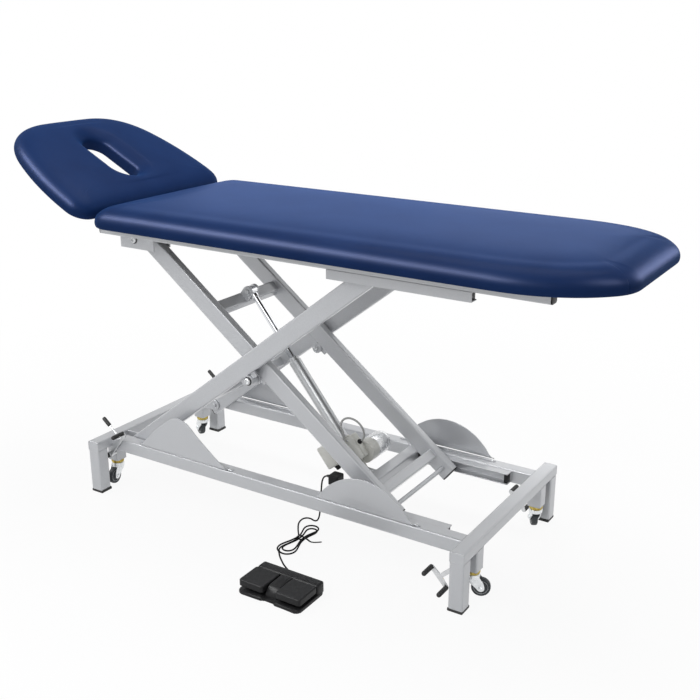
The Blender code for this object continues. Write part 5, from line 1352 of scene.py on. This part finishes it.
# %% Castors, one drawing for four places
for word, end, side, heading, lever_angle in CASTORS:
    upright = place_at(end * CASTOR_X, side * CASTOR_Y, 0.0)
    headed = upright @ Matrix.Rotation(math.radians(heading), 4, "Z")
    stem = bmesh.new()
    turned(stem, STEM, upright, 40)
    made = show("castor_stem_" + word, stem, yellow_zinc, "stem_body_" + word)
    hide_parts("stem_" + word)
    fork = bmesh.new()
    turned(fork, CUP, headed, 40)
    for face in (-CHEEK_IN, CHEEK_IN + CHEEK_THICK):
        cut_plate(fork, cheek_line, CHEEK_THICK, headed @ shift(0, face, 0) @ FACING["-y"], 0.0005)
    axle = headed @ shift(TRAIL, 0, AXLE_Z)
    turned(fork, AXLE_PIN, axle @ FACING["y"], 20)
    for facing in ("y", "-y"):
        turned(fork, AXLE_NUT, axle @ FACING[facing], 6)
    made = show("castor_fork_" + word, fork, clear_zinc, "fork_body_" + word)
    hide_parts("fork_" + word)
    tyre = bmesh.new()
    turned(tyre, TYRE, axle @ FACING["y"], 56)
    turned(tyre, WEB, axle @ FACING["y"], 48)
    made = show("castor_tyre_" + word, tyre, castor_tread, "wheel_body_" + word)
    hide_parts("wheel_" + word)
    core = bmesh.new()
    turned(core, CORE, axle @ FACING["y"], 48)
    show("castor_core_" + word, core, grey_core, "wheel_body_" + word)

# %% [markdown]
# ## Castor levers
# A lever beside each castor turns a cam that pushes the stem down. At the foot end it is a plated hub and a
# flat arm with a cross bar, and a rubber grip stands out at each end of the bar. At the head end the arm is
# longer: a thin rod goes on from it with a grip in line, and one more grip stands out from the arm's tip.
# Bent tubes could make these too, but flat plate and turned grips are how such levers are put together.

# %% Parts of the levers
LEVER_X, LEVER_Z, LEVER_ARM, LEVER_CROSS, LEVER_FACE = 0.603, 0.108, 0.085, 0.032, 0.2435
LEVER_THICK, CROSS_HALF = 0.004, 0.006
HAND_ARM, HAND_ROD, HAND_HALF = 0.112, 0.087, 0.0070
RIB_STEP = 0.0062
LEVER_HUB = [(0.0, 0.2243), (0.0085, 0.2243), (0.0085, 0.2430), (0.0100, 0.2436), (0.0100, 0.2476),
             (0.0062, 0.2480), (0.0062, 0.2510), (0.0050, 0.2522), (0.0, 0.2524)]
HUB_CAP = [(0.0, 0.2512), (0.0072, 0.2512), (0.0078, 0.2518), (0.0078, 0.2540), (0.0066, 0.2552),
           (0.0, 0.2556)]
THIN_ROD = [(0.0, -0.004), (0.0030, -0.004), (0.0030, HAND_ROD - 0.001), (0.0024, HAND_ROD), (0.0, HAND_ROD)]
GRIP = [(0.0, 0.0), (0.0050, 0.0), (0.0063, 0.0012), (0.0065, 0.0030)]
for k in range(5):
    GRIP += [(0.0065, 0.0080 + RIB_STEP * k), (0.0060, 0.0090 + RIB_STEP * k),
             (0.0060, 0.0098 + RIB_STEP * k), (0.0065, 0.0108 + RIB_STEP * k)]
GRIP += [(0.0065, 0.0410), (0.0061, 0.0440), (0.0047, 0.0462), (0.0024, 0.0470), (0.0, 0.0470)]
SLEEVE = [(0.0032, -0.0160), (0.0052, -0.0160), (0.0060, -0.0150), (0.0060, 0.0120), (0.0052, 0.0150),
          (0.0034, 0.0160), (0.0032, -0.0160)]
CROSS_BAR = [(0.0, -0.0070), (LEVER_ARM - 0.008, -0.0050), (LEVER_ARM - CROSS_HALF, -LEVER_CROSS),
             *arc((LEVER_ARM, -LEVER_CROSS), CROSS_HALF, 180, 360, 8), (LEVER_ARM + CROSS_HALF, LEVER_CROSS),
             *arc((LEVER_ARM, LEVER_CROSS), CROSS_HALF, 0, 180, 8)[1:], (LEVER_ARM - 0.008, 0.0050),
             (0.0, 0.0070)]
HAND_TIP = HAND_ARM - HAND_HALF
HAND_BAR = [(0.0, -HAND_HALF), (HAND_TIP, -HAND_HALF), *arc((HAND_TIP, 0.0), HAND_HALF, -90, 90, 8)[1:-1],
            (HAND_TIP, HAND_HALF), (0.0, HAND_HALF)]
print("lever arms %.0f and %.0f mm" % (1000 * LEVER_ARM, 1000 * HAND_ARM))

# %% Levers, one beside each castor
for word, end, side, heading, lever_angle in CASTORS:
    facing = FACING["y" if side > 0 else "-y"]
    hub_at = place_at(end * LEVER_X, 0.0, LEVER_Z)
    angle = math.radians(lever_angle)
    inward = Vector((-end * math.cos(angle), 0.0, math.sin(angle)))
    across = Vector((end * math.sin(angle), 0.0, math.cos(angle)))
    turn = Matrix.Rotation(-math.atan2(inward.z, inward.x), 4, "Y")
    steel, grips = bmesh.new(), bmesh.new()
    turned(steel, LEVER_HUB, hub_at @ facing, 28)
    plate_y = LEVER_FACE + LEVER_THICK if side > 0 else -LEVER_FACE
    flat = hub_at @ turn @ shift(0, plate_y, 0) @ FACING["-y"]
    if end > 0:
        bar = CROSS_BAR
        holds = [inward * LEVER_ARM + across * (way * LEVER_CROSS) for way in (-1, 1)]
    else:
        bar = HAND_BAR
        holds = [inward * (HAND_ARM - 0.006) + across * 0.006]
        rod_from = inward * LEVER_ARM
        rod_way = hub_at @ shift(rod_from.x, side * (LEVER_FACE + 0.0045), rod_from.z)
        rod_way = rod_way @ across.to_track_quat("Z", "Y").to_matrix().to_4x4()
        turned(steel, THIN_ROD, rod_way, 20)
        turned(grips, SLEEVE, rod_way @ shift(0, 0, HAND_ROD - 0.016), 24)
    cut_plate(steel, bar, LEVER_THICK, flat, 0.0006)
    made = show("lever_steel_" + word, steel, bright_zinc, "lever_body_" + word)
    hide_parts("lever_" + word)
    turned(grips, HUB_CAP, hub_at @ facing, 24)
    for hold in holds:
        turned(grips, GRIP, hub_at @ shift(hold.x, side * (LEVER_FACE + 0.001), hold.z) @ facing, 24)
    show("lever_grips_" + word, grips, grip_rubber, "lever_body_" + word)

# %% [markdown]
# ## Foot switch
# The switch is a black moulding with a tray, a raised bar at the back and a bridge in the middle. Two
# pedals lie in it with a narrow gap all round. A soft block has the same round on every edge, which is too
# plain for them. So each pedal is a lid with larger corners in plan, and a bevel with four steps gives the
# pale line of light along its edges.

# %% Foot switch body
SWITCH_FRONT, SWITCH_WIDTH, SWITCH_HEIGHT, TRAY_HEIGHT = -0.515, 0.190, 0.036, 0.009
BAR_DEPTH, BRIDGE = 0.032, 0.034
TRAY_ROUND, TRAY_NOTCH, TRAY_EDGE = 0.012, 0.006, 0.0022
moulding = bmesh.new()
lobe = (SWITCH_WIDTH - BRIDGE) / 2
depth = SWITCH_BACK - SWITCH_FRONT
half_width = SWITCH_WIDTH / 2
tray = [(-half_width, SWITCH_BACK - TRAY_ROUND)]
tray += arc((-half_width + TRAY_ROUND, SWITCH_FRONT + TRAY_ROUND), TRAY_ROUND, 180, 270, 6)
tray += arc((-BRIDGE / 2 - TRAY_NOTCH, SWITCH_FRONT + TRAY_NOTCH), TRAY_NOTCH, 270, 360, 4)
tray += [(-BRIDGE / 2 + 0.003, SWITCH_FRONT + 0.009), (BRIDGE / 2 - 0.003, SWITCH_FRONT + 0.009)]
tray += arc((BRIDGE / 2 + TRAY_NOTCH, SWITCH_FRONT + TRAY_NOTCH), TRAY_NOTCH, 180, 270, 4)
tray += arc((half_width - TRAY_ROUND, SWITCH_FRONT + TRAY_ROUND), TRAY_ROUND, 270, 360, 6)
tray += [(half_width, SWITCH_BACK - TRAY_ROUND)]
tray += arc((half_width - TRAY_ROUND, SWITCH_BACK - TRAY_ROUND), TRAY_ROUND, 0, 90, 6)
tray += arc((-half_width + TRAY_ROUND, SWITCH_BACK - TRAY_ROUND), TRAY_ROUND, 90, 180, 6)[:-1]
cut_plate(moulding, tray, TRAY_HEIGHT, place_at(SWITCH_X, 0.0, 0.0), TRAY_EDGE)
soft_block(moulding, (SWITCH_WIDTH - 0.001, BAR_DEPTH, SWITCH_HEIGHT - 0.003),
           place_at(SWITCH_X, SWITCH_BACK - BAR_DEPTH / 2, SWITCH_HEIGHT / 2 + 0.0015), 0.0055, 4)
side_view = [(SWITCH_BACK - 0.006, 0.003), (SWITCH_BACK - 0.006, SWITCH_HEIGHT - 0.001),
             (SWITCH_FRONT + 0.036, SWITCH_HEIGHT - 0.0025), (SWITCH_FRONT + 0.028, SWITCH_HEIGHT - 0.006),
             (SWITCH_FRONT + 0.0165, 0.016), (SWITCH_FRONT + 0.0150, 0.003)]
SIDEWAYS = Matrix(((0, 0, 1, 0), (1, 0, 0, 0), (0, 1, 0, 0), (0, 0, 0, 1)))
bridge_place = place_at(SWITCH_X - BRIDGE / 2, 0.0, 0.0) @ SIDEWAYS
cut_plate(moulding, side_view[::-1], BRIDGE, bridge_place, TRAY_EDGE)
switch_body = show("switch_body", moulding, moulded_black, "base", 40.0)
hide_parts("footswitch_base")
print("foot switch", [round(v, 3) for v in switch_body.dimensions])

# %% Pedals
PEDAL_GAP, PEDAL_PLAY, TOE_GAP = 0.0012, 0.0016, 0.0082
PEDAL_LOW, PEDAL_TOP = SWITCH_HEIGHT - 0.0180, SWITCH_HEIGHT + 0.0006
PEDAL_ROUND, PEDAL_EDGE, EDGE_STEPS = 0.0075, 0.0030, 4
pedal_width = lobe - PEDAL_GAP - PEDAL_PLAY
pedal_depth = depth - BAR_DEPTH - TOE_GAP
lid_plan = rounded_rectangle(pedal_width, pedal_depth, PEDAL_ROUND, 6)
for word, way in (("left", -1), ("right", 1)):
    middle = SWITCH_X + way * (BRIDGE / 2 + PEDAL_GAP + lobe / 2)
    lid = bmesh.new()
    lid_place = place_at(middle, SWITCH_BACK - BAR_DEPTH - PEDAL_PLAY - pedal_depth / 2, PEDAL_LOW)
    cut_plate(lid, lid_plan, PEDAL_TOP - PEDAL_LOW, lid_place)
    pedal = show("switch_pedal_" + word, lid, moulded_black, word + "_pedal", 50.0)
    soft_edge = pedal.modifiers.new("soft_edge", "BEVEL")
    soft_edge.width = PEDAL_EDGE
    soft_edge.segments = EDGE_STEPS
    soft_edge.angle_limit = math.radians(40.0)
    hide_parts("pedal_" + word)
print("pedals", pedal_width, pedal_depth)
